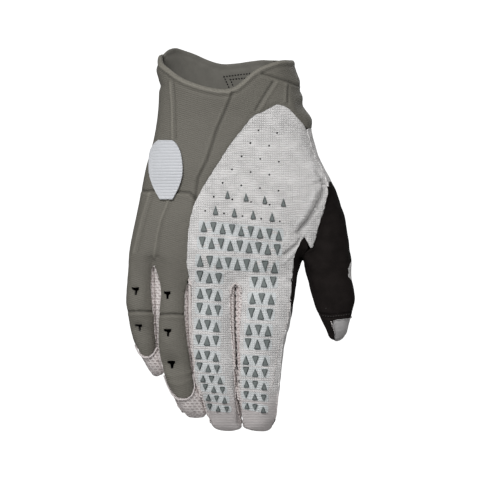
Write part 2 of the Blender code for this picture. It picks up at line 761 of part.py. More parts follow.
def finish_object(thing, colour, roughness):
    name = thing.name
    material = bpy.data.materials.new(name)
    material.use_nodes = True
    shader = material.node_tree.nodes["Principled BSDF"]
    shader.inputs["Base Color"].default_value = colour + (1.0,)
    shader.inputs["Roughness"].default_value = roughness
    shader.inputs["Metallic"].default_value = 0.0
    thing.data.materials.append(material)
    return thing


def main():
    clear_scene()
    skin = build_skin()
    normals, tree = skin_normals(skin)
    made = {name: panel_object(skin, normals, name) for name in PANELS}
    ring = [2 * math.pi * (i + 0.5) / HOLE_SIDES for i in range(HOLE_SIDES)]
    round_hole = [(HOLE_RADIUS * math.cos(a), HOLE_RADIUS * math.sin(a)) for a in ring]
    holes = prisms(tree, "hole_cutter", hole_places(), round_hole, 0.0020, 0.0026)
    pierce(made["knit_panel"], holes)
    vents = prisms(tree, "vent_cutter", VENTS, [(x * VENT_SIZE, z * VENT_SIZE) for x, z in VENT_OUTLINE],
                   0.0030, 0.0036)
    pierce(made["back_panel"], vents)
    badge_object(tree)


main()
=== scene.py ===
"""Looks of the motocross glove: sewn panels, printed pads, stitches, plate and studio.

The glove hangs with its back to -Y and its fingers down -Z.  Places on the back
of the hand are given in picture pixels, across and down, and turned to metres
by place().
"""

import math

import bmesh
import bpy
import numpy as np
from bpy.props import FloatProperty, FloatVectorProperty, IntProperty, PointerProperty
from mathutils import Matrix, Vector
from mathutils.bvhtree import BVHTree
from mathutils.kdtree import KDTree


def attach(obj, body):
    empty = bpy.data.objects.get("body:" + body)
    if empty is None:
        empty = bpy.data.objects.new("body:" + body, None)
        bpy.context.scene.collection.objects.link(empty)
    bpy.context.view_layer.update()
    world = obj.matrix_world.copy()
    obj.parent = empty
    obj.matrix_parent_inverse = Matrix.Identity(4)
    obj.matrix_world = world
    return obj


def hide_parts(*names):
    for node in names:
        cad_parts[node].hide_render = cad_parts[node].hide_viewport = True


bl_info = {
    "name": "Motocross glove",
    "version": (1, 0, 0),
    "blender": (4, 5, 0),
    "location": "3D view > Sidebar > Glove",
    "description": "Dresses the glove's solids with cloth, leather, pads and stitches",
    "category": "Object",
}

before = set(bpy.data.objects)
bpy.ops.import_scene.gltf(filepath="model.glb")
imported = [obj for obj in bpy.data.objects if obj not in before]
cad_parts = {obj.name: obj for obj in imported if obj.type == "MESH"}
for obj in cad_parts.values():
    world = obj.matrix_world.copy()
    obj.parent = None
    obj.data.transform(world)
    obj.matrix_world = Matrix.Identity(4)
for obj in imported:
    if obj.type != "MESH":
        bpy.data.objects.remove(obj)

MM = 0.001
PIXEL = 0.58 * MM            # one picture pixel on the glove
ZERO_ACROSS = 232.0          # picture place of the glove's origin
ZERO_DOWN = 70.0
MERGE = 0.02 * MM

# Panels: wall of the solid, subdivision level, finish outside and inside, slot, flat size
PANELS = {
    "back_panel": (2.2 * MM, 3, "moulded", "lining", "moulded_grey", (0.150, 0.205)),
    "knit_panel": (1.3 * MM, 3, "knit", "lining", "light_knit", (0.110, 0.195)),
    "palm_panel": (1.2 * MM, 3, "suede", "lining", "black_leather", (0.190, 0.190)),
    "cuff_palm_panel": (2.0 * MM, 3, "cuff_cloth", "cuff_rib", "cuff_fabric", (0.110, 0.050)),
    "thumb_wrap": (1.2 * MM, 3, "suede", "lining", "black_leather", (0.100, 0.125)),
    "thumb_tip_patch": (1.2 * MM, 4, "patch", "lining", "light_knit", (0.020, 0.018)),
    "gusset_pinky_ring": (1.1 * MM, 3, "mesh", "mesh", "light_mesh", (0.045, 0.095)),
    "gusset_ring_middle": (1.1 * MM, 3, "mesh", "mesh", "light_mesh", (0.045, 0.090)),
    "gusset_middle_index": (1.1 * MM, 3, "mesh", "mesh", "light_mesh", (0.038, 0.088)),
}

# Moulded and folded lines of each panel: kind, height in mm, width in pixels, places
FORMS = {
    "back_panel": (
        ("groove", 0.70, 1.6, ((232.7, 94.7), (225.3, 113), (217.8, 129.5), (207.8, 160),
                               (198.2, 179.5), (196.4, 191), (194.6, 206))),
        ("ridge", 0.25, 2.0, ((229.4, 96), (222, 113), (214.5, 129.5), (204.5, 160), (195.2, 179.5))),
        ("ridge", 0.65, 1.5, ((170.6, 84), (172.2, 104.6), (173.0, 139.5))),
        ("groove", 0.45, 1.2, ((173.6, 84), (175.2, 104.6), (176.0, 139.5))),
        ("crease", 0.70, 1.4, ((262.9, 75.3), (277, 79.3), (289.6, 83), (298.6, 86.4))),
        ("groove", 0.60, 1.4, ((272.7, 83.8), (262.9, 99), (255.7, 111.4))),
        ("ridge", 0.40, 1.8, ((276.4, 84.5), (266.4, 100), (259.2, 112.4))),
        ("groove", 0.40, 1.3, ((288.5, 86.5), (288, 103.5))),
        ("ridge", 0.35, 1.6, ((285.4, 85.5), (285, 102.5))),
        ("crease", 0.80, 1.4, ((141, 190.6), (147, 190.9), (153.6, 190.6))),
        ("crease", 0.80, 1.4, ((173, 191.5), (182, 192.5), (190, 193), (196, 199))),
        ("ridge", 0.45, 1.8, ((150, 193), (142.9, 216), (139.3, 230), (133.9, 252.7))),
        ("groove", 0.30, 1.6, ((153.2, 193), (146.3, 216), (142.7, 230), (137.3, 252.7))),
        ("ridge", 0.50, 1.8, ((171.4, 193), (166, 208), (160.7, 221), (157, 239), (154.5, 257))),
        ("groove", 0.30, 1.6, ((174.8, 193), (169.4, 208), (164.1, 221), (160.4, 239), (157.9, 257))),
        ("crease", 0.85, 1.3, ((127, 311.8), (140, 311.4), (153.5, 311.8))),
        ("crease", 0.85, 1.3, ((157, 314.5), (172, 313.9), (187, 314.5))),
        ("ridge", 0.25, 2.5, ((160, 372), (172, 376), (190, 372))),
        ("ridge", 0.25, 2.5, ((164, 381), (178, 385), (193, 379))),
    ),
    "knit_panel": (
        ("groove", 1.10, 2.8, ((325, 186), (320, 200), (314, 212), (306, 223), (298, 233))),
        ("ridge", 0.50, 3.2, ((315, 190), (310, 204), (304, 215), (296, 224))),
        ("groove", 0.90, 2.2, ((303, 238), (295, 246), (285, 254))),
        ("ridge", 0.45, 2.4, ((299, 249), (291, 256), (284, 262))),
        ("groove", 0.50, 2.2, ((306, 131), (313.7, 135), (317, 141))),
        ("groove", 0.45, 2.2, ((313, 185), (319, 182), (325, 179))),
        ("groove", 0.45, 2.0, ((316, 172), (321, 178), (324, 186))),
        ("ridge", 0.35, 3.0, ((306, 150), (312, 165), (314, 178))),
        ("groove", 0.35, 2.4, ((286, 276), (291, 281), (296, 279))),
        ("groove", 0.12, 2.6, ((209, 414), (220, 418), (232, 415))),
        ("groove", 0.12, 2.6, ((248, 417), (260, 421), (270, 417))),
    ),
    "thumb_wrap": (
        ("crease", 0.18, 2.2, ((308, 268), (322, 262), (338, 264), (351, 262))),
        ("groove", 0.20, 3.4, ((318, 240), (330, 244), (346, 243))),
        ("crease", 0.55, 1.2, ((317.7, 313.7), (330, 315.2), (342, 314.2), (353, 312.4))),
        ("crease", 0.40, 1.2, ((317.9, 316.8), (330, 318.2), (342, 317.0), (352.5, 315.0))),
    ),
}

# Gentle pulls of the whole glove to the picture's lines: across, down, reach each way, shift each way
PULLS = (
    (156.0, 70.5, 9.0, 7.0, -2.8, 0.0),
    (173.0, 51.0, 12.0, 7.0, 0.0, -2.2),
    (159.0, 86.0, 6.0, 3.5, 1.6, 0.0),
    (298.5, 80.0, 6.0, 6.0, 1.2, 0.0),
    (300.0, 91.0, 6.0, 3.5, -1.6, 0.0),
    (304.0, 106.0, 7.0, 6.0, -3.0, 0.0),
    (310.0, 119.0, 6.0, 6.0, 2.2, 0.0),
    (180.0, 408.0, 9.0, 9.0, -1.8, 0.0),
    (220.0, 428.0, 10.0, 8.0, -4.0, 0.0),
    (241.0, 392.0, 8.0, 26.0, -3.0, 0.0),
    (277.0, 417.0, 6.0, 6.0, 0.8, 0.0),
    (237.0, 427.0, 6.0, 5.0, 0.8, 1.3),
    (250.0, 427.0, 6.0, 5.0, -1.2, 1.6),
    (241.4, 420.0, 3.0, 6.0, 1.2, 0.0),
    (245.6, 420.0, 3.0, 6.0, -1.2, 0.0),
    (155.0, 266.0, 10.0, 12.0, 0.0, -3.0),
    (149.5, 288.0, 4.0, 14.0, -0.9, 0.0),
    (160.5, 286.0, 4.0, 16.0, 1.2, 0.0),
    (236.0, 287.0, 12.0, 12.0, 0.0, -2.5),
    (196.0, 302.0, 6.0, 22.0, -2.8, 0.0),
    (197.0, 341.0, 6.0, 22.0, -3.4, 0.0),
    (200.0, 378.0, 6.0, 18.0, -3.8, 0.0),
    (311.5, 242.0, 4.0, 9.0, 0.0, 4.6),
    (304.0, 241.0, 3.5, 5.5, 0.0, -2.6),
    (302.5, 263.0, 5.0, 6.0, -1.2, -4.0),
    (350.0, 270.0, 9.0, 18.0, 2.6, 0.0),
    (351.0, 296.0, 8.0, 12.0, 1.4, 0.0),
    (345.0, 334.0, 8.0, 8.0, 2.2, 0.0),
)

# Vents: across and down of their middles, their size, and their outline as shares of it
VENTS = ((135.3, 291.3), (138.8, 328.3), (167.0, 295.3), (167.6, 332.8), (171.4, 364.9))
VENT_SIZE = 4.5 * MM
VENT_OUTLINE = (
    (-0.50, 0.48), (-0.50, 0.18), (-0.18, 0.04), (-0.13, -0.48),
    (0.18, -0.48), (0.24, 0.04), (0.46, 0.16), (0.48, 0.50),
)
# Small round holes: across and down of a row's first, their number; one step between two
HOLE_ROWS = (
    (258.4, 131.1, 2), (250.4, 143.8, 2), (241.6, 157.0, 3), (232.1, 170.0, 3),
    (222.8, 183.3, 4), (213.9, 197.1, 4), (205.5, 211.1, 5),
)
HOLE_STEP = (18.5, 2.6)
HOLE_RADIUS = 0.55 * MM

# Rows of raised pads: first place across and down, step across and down, number, turn of the first
# (1 up, -1 down, 2 for all of them up), width, height and whether a film lies under the row
PAD_ROWS = (
    (227.5, 194.7, 18.50, 2.57, 4, 2, 5.2, 8.4, 0),
    (215.7, 210.2, 18.67, 2.20, 4, 2, 5.6, 9.2, 0),
    (204.2, 226.3, 9.26, 1.08, 9, 1, 6.6, 10.4, 1),
    (202.5, 242.1, 9.28, 0.96, 9, -1, 7.0, 11.0, 1),
    (200.6, 260.5, 9.18, 0.81, 9, 1, 7.0, 11.2, 1),
    (200.3, 275.9, 9.10, 1.15, 3, -1, 6.8, 10.6, 1),
    (254.5, 281.9, 9.20, 0.00, 3, -1, 6.8, 10.6, 1),
    (200.6, 292.8, 8.50, 1.15, 3, 1, 6.7, 10.4, 1),
    (252.7, 298.0, 9.00, 0.40, 3, 1, 6.8, 10.6, 1),
    (200.0, 307.6, 8.80, 1.35, 3, -1, 6.6, 10.2, 1),
    (251.7, 313.0, 8.85, 0.55, 3, -1, 6.8, 10.6, 1),
    (199.5, 323.3, 8.35, 1.40, 3, 1, 6.6, 10.2, 1),
    (249.2, 329.0, 9.20, 0.60, 3, 1, 6.8, 10.6, 1),
    (199.0, 339.5, 8.40, 0.50, 3, -1, 6.5, 9.8, 1),
    (248.4, 343.0, 9.10, 0.60, 3, -1, 6.6, 10.0, 1),
    (199.1, 354.0, 8.30, 1.25, 3, 1, 6.3, 8.8, 1),
    (246.3, 359.6, 9.30, 0.50, 3, 1, 6.4, 9.0, 1),
    (200.0, 366.3, 8.40, 1.30, 3, -1, 6.0, 8.0, 1),
    (246.3, 371.0, 9.05, 1.00, 3, -1, 6.2, 8.4, 1),
    (203.4, 378.0, 8.30, 0.90, 3, 1, 5.6, 7.2, 1),
    (246.8, 383.4, 8.55, 1.20, 3, 1, 5.8, 7.6, 1),
    (205.7, 387.2, 8.20, 1.40, 3, -1, 5.4, 6.8, 1),
    (246.3, 394.6, 8.60, 1.70, 3, -1, 5.6, 7.0, 1),
    (208.7, 397.2, 7.90, 1.30, 3, 1, 5.2, 6.4, 1),
    (247.3, 405.6, 7.95, 1.90, 3, 1, 5.4, 6.6, 1),
    (210.1, 407.0, 8.15, 1.30, 3, -1, 5.0, 6.0, 1),
)

# Sides of the palm and thumb that carry the knit, and the far end inside the cuff, given the dark lining
# as painted shade: number of the finish that it takes the place of, across from and to, down from and to,
# depth below which
SIDES = (
    (0, 290.0, 340.0, 128.5, 182.0, 6 * MM),
    (0, 290.0, 328.8, 182.0, 186.5, 6 * MM),
    (0, 332.6, 340.0, 182.0, 184.5, 6 * MM),
    (0, 262.0, 291.0, 304.0, 322.0, 9 * MM),
    (0, 262.0, 300.0, 322.0, 440.0, 9 * MM),
)
LINING_SHADE = ((1, 150.0, 189.0, 40.0, 100.0, 1.0),)
# Light oval on the thumb's side, a sliver from the front: least across, middle and half height down,
# middle and half of its depth
THUMB_OVAL = (348.6, 271.0, 9.5, 10 * MM, 5.5 * MM)

# Threads laid on a panel: panel, places, spacing, length and tilt of one stitch, finish
STITCHES = (
    ("cuff_palm_panel", ((223.8, 75.2), (239, 73.3), (254.0, 71.5)), 2.9, 2.0, 0, "thread_black"),
    ("cuff_palm_panel", ((223.8, 75.2), (229.7, 88.0)), 2.9, 2.0, 0, "thread_black"),
    ("cuff_palm_panel", ((230.3, 78.0), (240, 77.1), (249.8, 76.3)), 2.9, 2.0, 0, "thread_black"),
    ("cuff_palm_panel", ((230.3, 78.0), (234.0, 87.0)), 2.9, 2.0, 0, "thread_black"),
    ("thumb_wrap", ((318.2, 315.2), (330, 316.7), (342, 315.6), (352.0, 313.8)),
     2.6, 1.7, 0, "thread_dark"),
    ("thumb_wrap", ((331.6, 322.0), (333.4, 328.0), (336.4, 338.0)), 2.2, 2.0, 62, "thread_light"),
    ("knit_panel", ((290.2, 300), (289.0, 325), (285.0, 340), (282.0, 355), (280.8, 372), (278.6, 388),
                    (277.0, 404)), 3.0, 2.4, 58, "thread_light"),
    ("gusset_middle_index", ((238.4, 285), (238.2, 300), (238.4, 330), (239.2, 360), (241.0, 384),
                             (243.0, 400)), 3.0, 3.2, -48, "thread_rose"),
    ("gusset_middle_index", ((232.4, 285), (232.2, 300), (232.6, 330), (234.0, 360), (237.0, 384),
                             (239.4, 400)), 2.6, 3.6, 48, "rope"),
    # The dark stitches down this strip's middle are painted shade: they stand for its dark holes
    ("gusset_middle_index", ((235.6, 289), (235.8, 300), (236.2, 330), (237.2, 360), (239.0, 384)),
     6.6, 3.8, 0, "thread_dark"),
    ("gusset_ring_middle", ((190.4, 280), (190.6, 300), (191.0, 320), (192.0, 340), (193.6, 356),
                            (196.4, 374), (200.6, 396)), 2.2, 4.6, 50, "rope"),
    ("knit_panel", ((189.4, 278.6), (190.4, 286.0)), 1.8, 4.4, 60, "rope"),
    ("knit_panel", ((230.2, 293), (230.8, 288), (233.0, 284.6), (235.9, 283.4), (239.0, 284.8),
                    (241.0, 288.4), (241.6, 293)), 1.9, 3.0, 75, "rope"),
    ("cuff_palm_panel", ((274.4, 60.6), (284.0, 60.4)), 1.6, 2.6, 0, "thread_black"),
)

# Times the common thread's thickness
THICKER_THREADS = {"rope": 2.0, "thread_black": 1.3}

# Light piping round the ends of the grey finger backs: panel, across from and to, and the least down
PIPING = (
    ("back_panel", 133.0, 157.0, 344.0),
    ("back_panel", 162.0, 195.0, 377.0),
)

# Woven finishes: material, pattern and its output, how dark and how much of it, bump, roughness, gloss
CLOTHS = {
    "moulded": ("moulded_cloth", "moulded_twill", "Shade", 0.80, 0.80, 0.22 * MM, 0.55, 0.22),
    "knit": ("waffle_cloth", "waffle_knit", "Pore", 0.40, 0.78, 0.55 * MM, 0.85, 0.15),
    "film": ("pad_film", "waffle_knit", "Pore", 0.55, 0.70, 0.35 * MM, 0.60, 0.15),
    "mesh": ("net_cloth", "oval_net", "Hole", (0.52, 0.46, 0.46), 0.55, 0.50 * MM, 0.80, 0.15),
    "suede": ("black_suede", "suede_nap", "Shade", 0.55, 0.60, 0.10 * MM, 0.85, 0.06),
    "patch": ("patch_cloth", "suede_nap", "Shade", 0.70, 0.60, 0.12 * MM, 0.80, 0.15),
    "cuff_cloth": ("cuff_cloth", "suede_nap", "Shade", 0.80, 0.60, 0.08 * MM, 0.85, 0.15),
    "cuff_rib": ("ribbed_lining", "lining_ribs", "Valley", 0.70, 0.60, 0.25 * MM, 0.90, 0.15),
}
# Plain finishes: material, roughness, gloss
PLAIN = {
    "plate": ("plate_rubber", 0.38, 0.15),
    "lining": ("lining", 0.9, 0.3),
    "pad": ("pad", 0.45, 0.3),
    # The pads' dark rims are painted shade at their edges
    "pad_rim": ("pad_rim", 0.5, 0.3),
    "thread_black": ("thread_black", 0.6, 0.3),
    "thread_dark": ("thread_dark", 0.6, 0.3),
    "thread_light": ("thread_light", 0.7, 0.3),
    "thread_rose": ("thread_rose", 0.7, 0.3),
    "rope": ("rope", 0.8, 0.3),
    "piping_cloth": ("piping_cloth", 0.7, 0.3),
}
# Down places between which the knit turns to the plain fingertips, and the spacing of their fine ribs
TIPS_FROM = 384.0
TIPS_FULL = 410.0
TIP_RIB = 0.95 * MM
# How strongly the painted shade of the moulded lines and the painted highlight of the ridges show in a
# cloth's colour: share, and times the base colour
GROOVE_PAINTED_SHADE = (0.60, 0.28)
RIDGE_PAINTED_HIGHLIGHT = (0.45, 1.9)

# Height and size of the lumps of a panel's cloth, and those of the other panels
UNEVEN = {
    "back_panel": (0.12 * MM, 14 * MM),
    "knit_panel": (0.22 * MM, 11 * MM),
    "palm_panel": (0.35 * MM, 7 * MM),
    "thumb_wrap": (0.35 * MM, 7 * MM),
    "cuff_palm_panel": (0.12 * MM, 7 * MM),
}
UNEVEN_OTHERS = (0.38 * MM, 7 * MM)
# Gathers of the strips between the fingers: height and size
STRIP_LUMPS = (0.30 * MM, 2.6 * MM)
# Steps along a panel's edge, and how near another edge has to be for a seam
EDGE_STEP = 1.0 * MM
SEAM_NEAR = 1.7 * MM
# Beside an edge the way out of the cloth is that of the skin further in, blended over a little more
RIM_REACH = 1.5 * MM
RIM_BLEND = 2.2 * MM
# Share of the seam dip that a panel takes, where it isn't the whole
SEAM_DIPS = {"knit_panel": 0.15, "thumb_wrap": 0.6}
# Fine level rows of the knit: height in mm, which also sets the strength of their painted shade and
# highlight, length, and where and over how much they fade out downwards
KNIT_ROW_HEIGHT = 0.30
KNIT_ROW_LENGTH = 0.62 * MM
KNIT_ROWS_END = 405.0
KNIT_ROWS_FADE = 20.0
# Dimple round a vent: depth and reach in pixels, then the same of its painted shade
VENT_DIMPLE = (1.0 * MM, 5.0, 0.40, 4.2)
# Where the middle and index fingertips meet: across, half width, down from, and over how much it sets in
TIPS_MEET = (240.0, 16.0, 375.0, 25.0)
TIPS_FILL = 1.2 * MM
# Moulded lines are made fine no deeper than this
FRONT_DEPTH = 16 * MM
SHORTEST_EDGE = 0.45 * MM
# Ribs of the plate: down place of the first, spacing, middle across, and half width
PLATE_RIBS = (141.0, 3.0, 167.8, 16.5)
PLATE_RIB_HEIGHT = 0.30 * MM
# Film: how far it reaches past the pads' middles across, and as a share of their height
FILM_MARGIN = 5.2
FILM_SHARE = 0.60
# Stage: half the floor's width, the backdrop's height and the bend between them, in metres, and the camera
FLOOR_HALF = 4.0
BACKDROP_HEIGHT = 4.0
FLOOR_BEND = 1.2
SENSOR = 36.0
PICTURE_MIDDLE = (240.0, 240.0)


def place(across, down):
    """Metres across and up of a picture place on the glove."""
    return (across - ZERO_ACROSS) * PIXEL, (ZERO_DOWN - down) * PIXEL


def tone(red, green, blue):
    """A screen colour, 0 to 255, as the linear light that a shader takes."""
    out = []
    for part in (red, green, blue):
        share = part / 255.0
        out.append(share / 12.92 if share <= 0.04045 else ((share + 0.055) / 1.055) ** 2.4)
    return tuple(out)


def colour(name, red, green, blue):
    return FloatVectorProperty(name=name, description=name + " of the glove", subtype="COLOR",
                               default=tone(red, green, blue), min=0.0, max=1.0)


class GLOVE_PG_sizes(bpy.types.PropertyGroup):
    """Sizes of what is laid on the solids."""

    seam_push: FloatProperty(name="Seam push",
                             description="How far a panel's edge is let out to meet its neighbour",
                             default=0.35 * MM, unit="LENGTH", precision=5)
    lap: FloatProperty(name="Lap",
                       description="How far more the knit's edge is let out, to lie over the others",
                       default=0.40 * MM, unit="LENGTH", precision=5)
    seam_dip: FloatProperty(name="Seam dip", description="How deep the cloth is drawn in along a seam",
                            default=0.45 * MM, unit="LENGTH", precision=5)
    seam_reach: FloatProperty(name="Seam reach", description="How far from a seam the cloth is drawn in",
                              default=1.5 * MM, unit="LENGTH", precision=5)
    pucker: FloatProperty(name="Pucker", description="Height of the gathers along a seam",
                          default=0.22 * MM, unit="LENGTH", precision=5)
    pad_height: FloatProperty(name="Pad height", description="How far a printed pad stands up",
                              default=0.75 * MM, unit="LENGTH", precision=5)
    # A pad's dark rim is painted shade at its edge
    pad_rim: FloatProperty(name="Pad rim", description="Width of a pad's dark rim",
                           default=0.35 * MM, unit="LENGTH", precision=5)
    film_height: FloatProperty(name="Film height", description="Thickness of the film under the pads",
                               default=0.10 * MM, unit="LENGTH", precision=5)
    thread: FloatProperty(name="Thread", description="Half thickness of the sewing thread",
                          default=0.30 * MM, unit="LENGTH", precision=5)
    piping: FloatProperty(name="Piping", description="Half thickness of the piping on the finger ends",
                          default=0.42 * MM, unit="LENGTH", precision=5)
    hem: FloatProperty(name="Hem", description="How far the cuff's folded edge bulges",
                       default=0.45 * MM, unit="LENGTH", precision=5)
    gap_fill: FloatProperty(name="Gap fill",
                            description="How far a strip between two fingers may swell to its other side",
                            default=1.9 * MM, unit="LENGTH", precision=5)
    fine: IntProperty(name="Fine steps",
                      description="Extra halvings of the cloth's faces near moulded lines",
                      default=2, min=0, max=2)


class GLOVE_PG_colours(bpy.types.PropertyGroup):
    """Colours of the materials."""

    moulded: colour("Moulded grey", 119, 116, 108)
    knit: colour("Light knit", 237, 235, 234)
    suede: colour("Black suede", 34, 30, 29)
    cuff_cloth: colour("Cuff cloth", 113, 111, 105)
    cuff_rib: colour("Cuff's ribbed lining", 120, 122, 117)
    lining: colour("Dark lining", 84, 82, 80)
    mesh: colour("Light mesh", 230, 223, 221)
    pad: colour("Pads", 118, 125, 124)
    # Pad rims: painted shade round the pads' edges and on their sides
    pad_rim: colour("Pad rims", 70, 76, 76)
    film: colour("Film", 224, 228, 229)
    plate: colour("Plate", 205, 207, 211)
    patch: colour("Thumb's patch", 186, 184, 184)
    tips: colour("Plain fingertips", 208, 202, 201)
    thread_black: colour("Black thread", 34, 32, 32)
    thread_dark: colour("Dark thread", 52, 49, 48)
    thread_light: colour("Light thread", 222, 216, 214)
    thread_rose: colour("Rose thread", 218, 202, 201)
    rope: colour("Rope edge", 214, 207, 205)
    piping_cloth: colour("Piping", 208, 201, 200)


class GLOVE_PG_stage(bpy.types.PropertyGroup):
    """Camera and lights."""

    distance: FloatProperty(name="Camera distance", description="From the glove to the camera",
                            default=2.4, unit="LENGTH")
    view: FloatProperty(name="View width", description="Width of the picture at the glove",
                        default=480 * PIXEL, unit="LENGTH")
    key: FloatProperty(name="Key light", description="Power of the large light at the upper left",
                       default=33.0, unit="POWER")
    fill: FloatProperty(name="Fill light", description="Power of the light at the right",
                        default=2.0, unit="POWER")
    world: FloatProperty(name="World light", description="Strength of the even light all round",
                         default=0.22)
    floor: FloatProperty(name="Floor", description="Height of the floor under the glove",
                         default=-0.30, unit="LENGTH")


def sizes():
    return bpy.context.scene.glove_sizes


def colours():
    return bpy.context.scene.glove_colours


# Materials

class Nodes:
    """Short calls to add and join shader nodes in a tree."""

    def __init__(self, tree):
        self.tree = tree

    def add(self, kind, values=(), **settings):
        node = self.tree.nodes.new("ShaderNode" + kind)
        for key, value in settings.items():
            setattr(node, key, value)
        for key, value in dict(values).items():
            if isinstance(value, bpy.types.NodeSocket):
                self.tree.links.new(value, node.inputs[key])
            else:
                node.inputs[key].default_value = value
        return node

    def noise(self, where, scale, detail):
        return self.add("TexNoise", {"Vector": where, "Scale": scale, "Detail": detail}).outputs["Fac"]

    def far(self, across, down):
        squares = [self.maths("POWER", way, 2.0) for way in (across, down)]
        return self.maths("SQRT", self.maths("ADD", *squares))

    def maths(self, operation, *terms):
        return self.add("Math", dict(enumerate(terms)), operation=operation).outputs[0]

    def smooth(self, value, low, high):
        node = self.add("MapRange", {"Value": value, "From Min": low, "From Max": high},
                        interpolation_type="SMOOTHSTEP")
        return node.outputs["Result"]

    def shades(self, factor, first, second):
        node = self.add("Mix", {"Factor": factor}, data_type="RGBA")
        for key, value in ((6, first), (7, second)):
            if isinstance(value, bpy.types.NodeSocket):
                self.tree.links.new(value, node.inputs[key])
            else:
                node.inputs[key].default_value = (*value, 1.0)
        return node.outputs[2]


def group(name, outputs):
    """A new node group with a place on the cloth as its input and the named values as outputs."""
    tree = bpy.data.node_groups.new(name, "ShaderNodeTree")
    tree.interface.new_socket("Place", in_out="INPUT", socket_type="NodeSocketVector")
    for output in outputs:
        tree.interface.new_socket(output, in_out="OUTPUT", socket_type="NodeSocketFloat")
    nodes = Nodes(tree)
    start = tree.nodes.new("NodeGroupInput").outputs["Place"]
    end = tree.nodes.new("NodeGroupOutput")
    return nodes, start, end


def cells(nodes, start, wide, tall, stagger=0.0, slant=0.0):
    """Place within one cell of a grid on the cloth, from -0.5 to 0.5 each way."""
    split = nodes.add("SeparateXYZ", {0: start})
    x = nodes.maths("DIVIDE", split.outputs[0], wide)
    y = nodes.maths("DIVIDE", split.outputs[1], tall)
    if slant:
        y = nodes.maths("ADD", y, nodes.maths("MULTIPLY", x, slant))
    row = nodes.maths("FLOOR", y)
    if stagger:
        x = nodes.maths("ADD", x, nodes.maths("MULTIPLY", row, stagger))
    across = nodes.maths("SUBTRACT", nodes.maths("FRACT", x), 0.5)
    down = nodes.maths("SUBTRACT", nodes.maths("FRACT", y), 0.5)
    return across, down


def group_waffle():
    """Knit: small pores in rows, with soft ribs between them."""
    nodes, start, end = group("waffle_knit", ("Height", "Pore"))
    sway = nodes.noise(start, 130.0, 1.0)
    lift = nodes.add("CombineXYZ", {1: nodes.maths("MULTIPLY", sway, 1.6 * MM)}).outputs[0]
    lifted = nodes.add("VectorMath", {0: start, 1: lift}, operation="ADD").outputs[0]
    across, down = cells(nodes, lifted, 1.04 * MM, 1.34 * MM)
    far = nodes.far(nodes.maths("MULTIPLY", across, 1.25), down)
    uneven = nodes.smooth(nodes.noise(start, 210.0, 2.0), 0.32, 0.66)
    depth = nodes.maths("ADD", nodes.maths("MULTIPLY", uneven, 0.7), 0.25)
    pore = nodes.maths("MULTIPLY", nodes.maths("SUBTRACT", 1.0, nodes.smooth(far, 0.12, 0.38)), depth)
    rib = nodes.smooth(nodes.maths("ABSOLUTE", down), 0.20, 0.5)
    cloud = nodes.noise(start, 700.0, 2.0)
    sunk = nodes.maths("ADD", nodes.maths("MULTIPLY", pore, 0.75), nodes.maths("MULTIPLY", rib, 0.55))
    height = nodes.maths("SUBTRACT", nodes.maths("MULTIPLY", cloud, 0.45), sunk)
    nodes.tree.links.new(height, end.inputs["Height"])
    patchy = nodes.smooth(nodes.noise(start, 75.0, 2.0), 0.30, 0.72)
    lines = nodes.maths("MULTIPLY", rib, nodes.maths("MULTIPLY", patchy, 0.85))
    nodes.tree.links.new(nodes.maths("MAXIMUM", pore, lines), end.inputs["Pore"])
    return nodes.tree


def group_twill():
    """Moulded cloth: fine, nearly level diagonal ribs."""
    nodes, start, end = group("moulded_twill", ("Height", "Shade"))
    across, down = cells(nodes, start, 3.4 * MM, 1.15 * MM, slant=0.9)
    rib = nodes.smooth(nodes.maths("ABSOLUTE", down), 0.05, 0.48)
    across2, down2 = cells(nodes, start, 0.62 * MM, 0.55 * MM, stagger=0.5)
    knot = nodes.maths("ADD", nodes.maths("ABSOLUTE", across2), nodes.maths("ABSOLUTE", down2))
    knot = nodes.smooth(knot, 0.1, 0.7)
    cloud = nodes.noise(start, 260.0, 3.0)
    sunk = nodes.maths("ADD", nodes.maths("MULTIPLY", rib, 0.6), nodes.maths("MULTIPLY", knot, 0.3))
    height = nodes.maths("SUBTRACT", nodes.maths("MULTIPLY", cloud, 0.3), sunk)
    nodes.tree.links.new(height, end.inputs["Height"])
    shade = nodes.maths("ADD", nodes.maths("MULTIPLY", rib, 0.6), nodes.maths("MULTIPLY", cloud, 0.4))
    nodes.tree.links.new(shade, end.inputs["Shade"])
    return nodes.tree


def group_nap():
    """Suede: short uneven nap."""
    nodes, start, end = group("suede_nap", ("Height", "Shade"))
    fine = nodes.noise(start, 1500.0, 3.0)
    cloud = nodes.noise(start, 160.0, 4.0)
    height = nodes.maths("ADD", nodes.maths("MULTIPLY", fine, 0.8), nodes.maths("MULTIPLY", cloud, 0.5))
    nodes.tree.links.new(height, end.inputs["Height"])
    nodes.tree.links.new(nodes.smooth(cloud, 0.35, 0.7), end.inputs["Shade"])
    return nodes.tree


def group_net():
    """Mesh cloth: slanted oval holes in staggered rows."""
    nodes, start, end = group("oval_net", ("Height", "Hole"))
    across, down = cells(nodes, start, 2.7 * MM, 1.65 * MM, stagger=0.5)
    lean = nodes.maths("ADD", down, nodes.maths("MULTIPLY", across, 0.30))
    far = nodes.far(nodes.maths("MULTIPLY", across, 1.05), nodes.maths("MULTIPLY", lean, 1.35))
    hole = nodes.maths("SUBTRACT", 1.0, nodes.smooth(far, 0.24, 0.42))
    nodes.tree.links.new(nodes.maths("MULTIPLY", hole, -1.0), end.inputs["Height"])
    nodes.tree.links.new(hole, end.inputs["Hole"])
    return nodes.tree


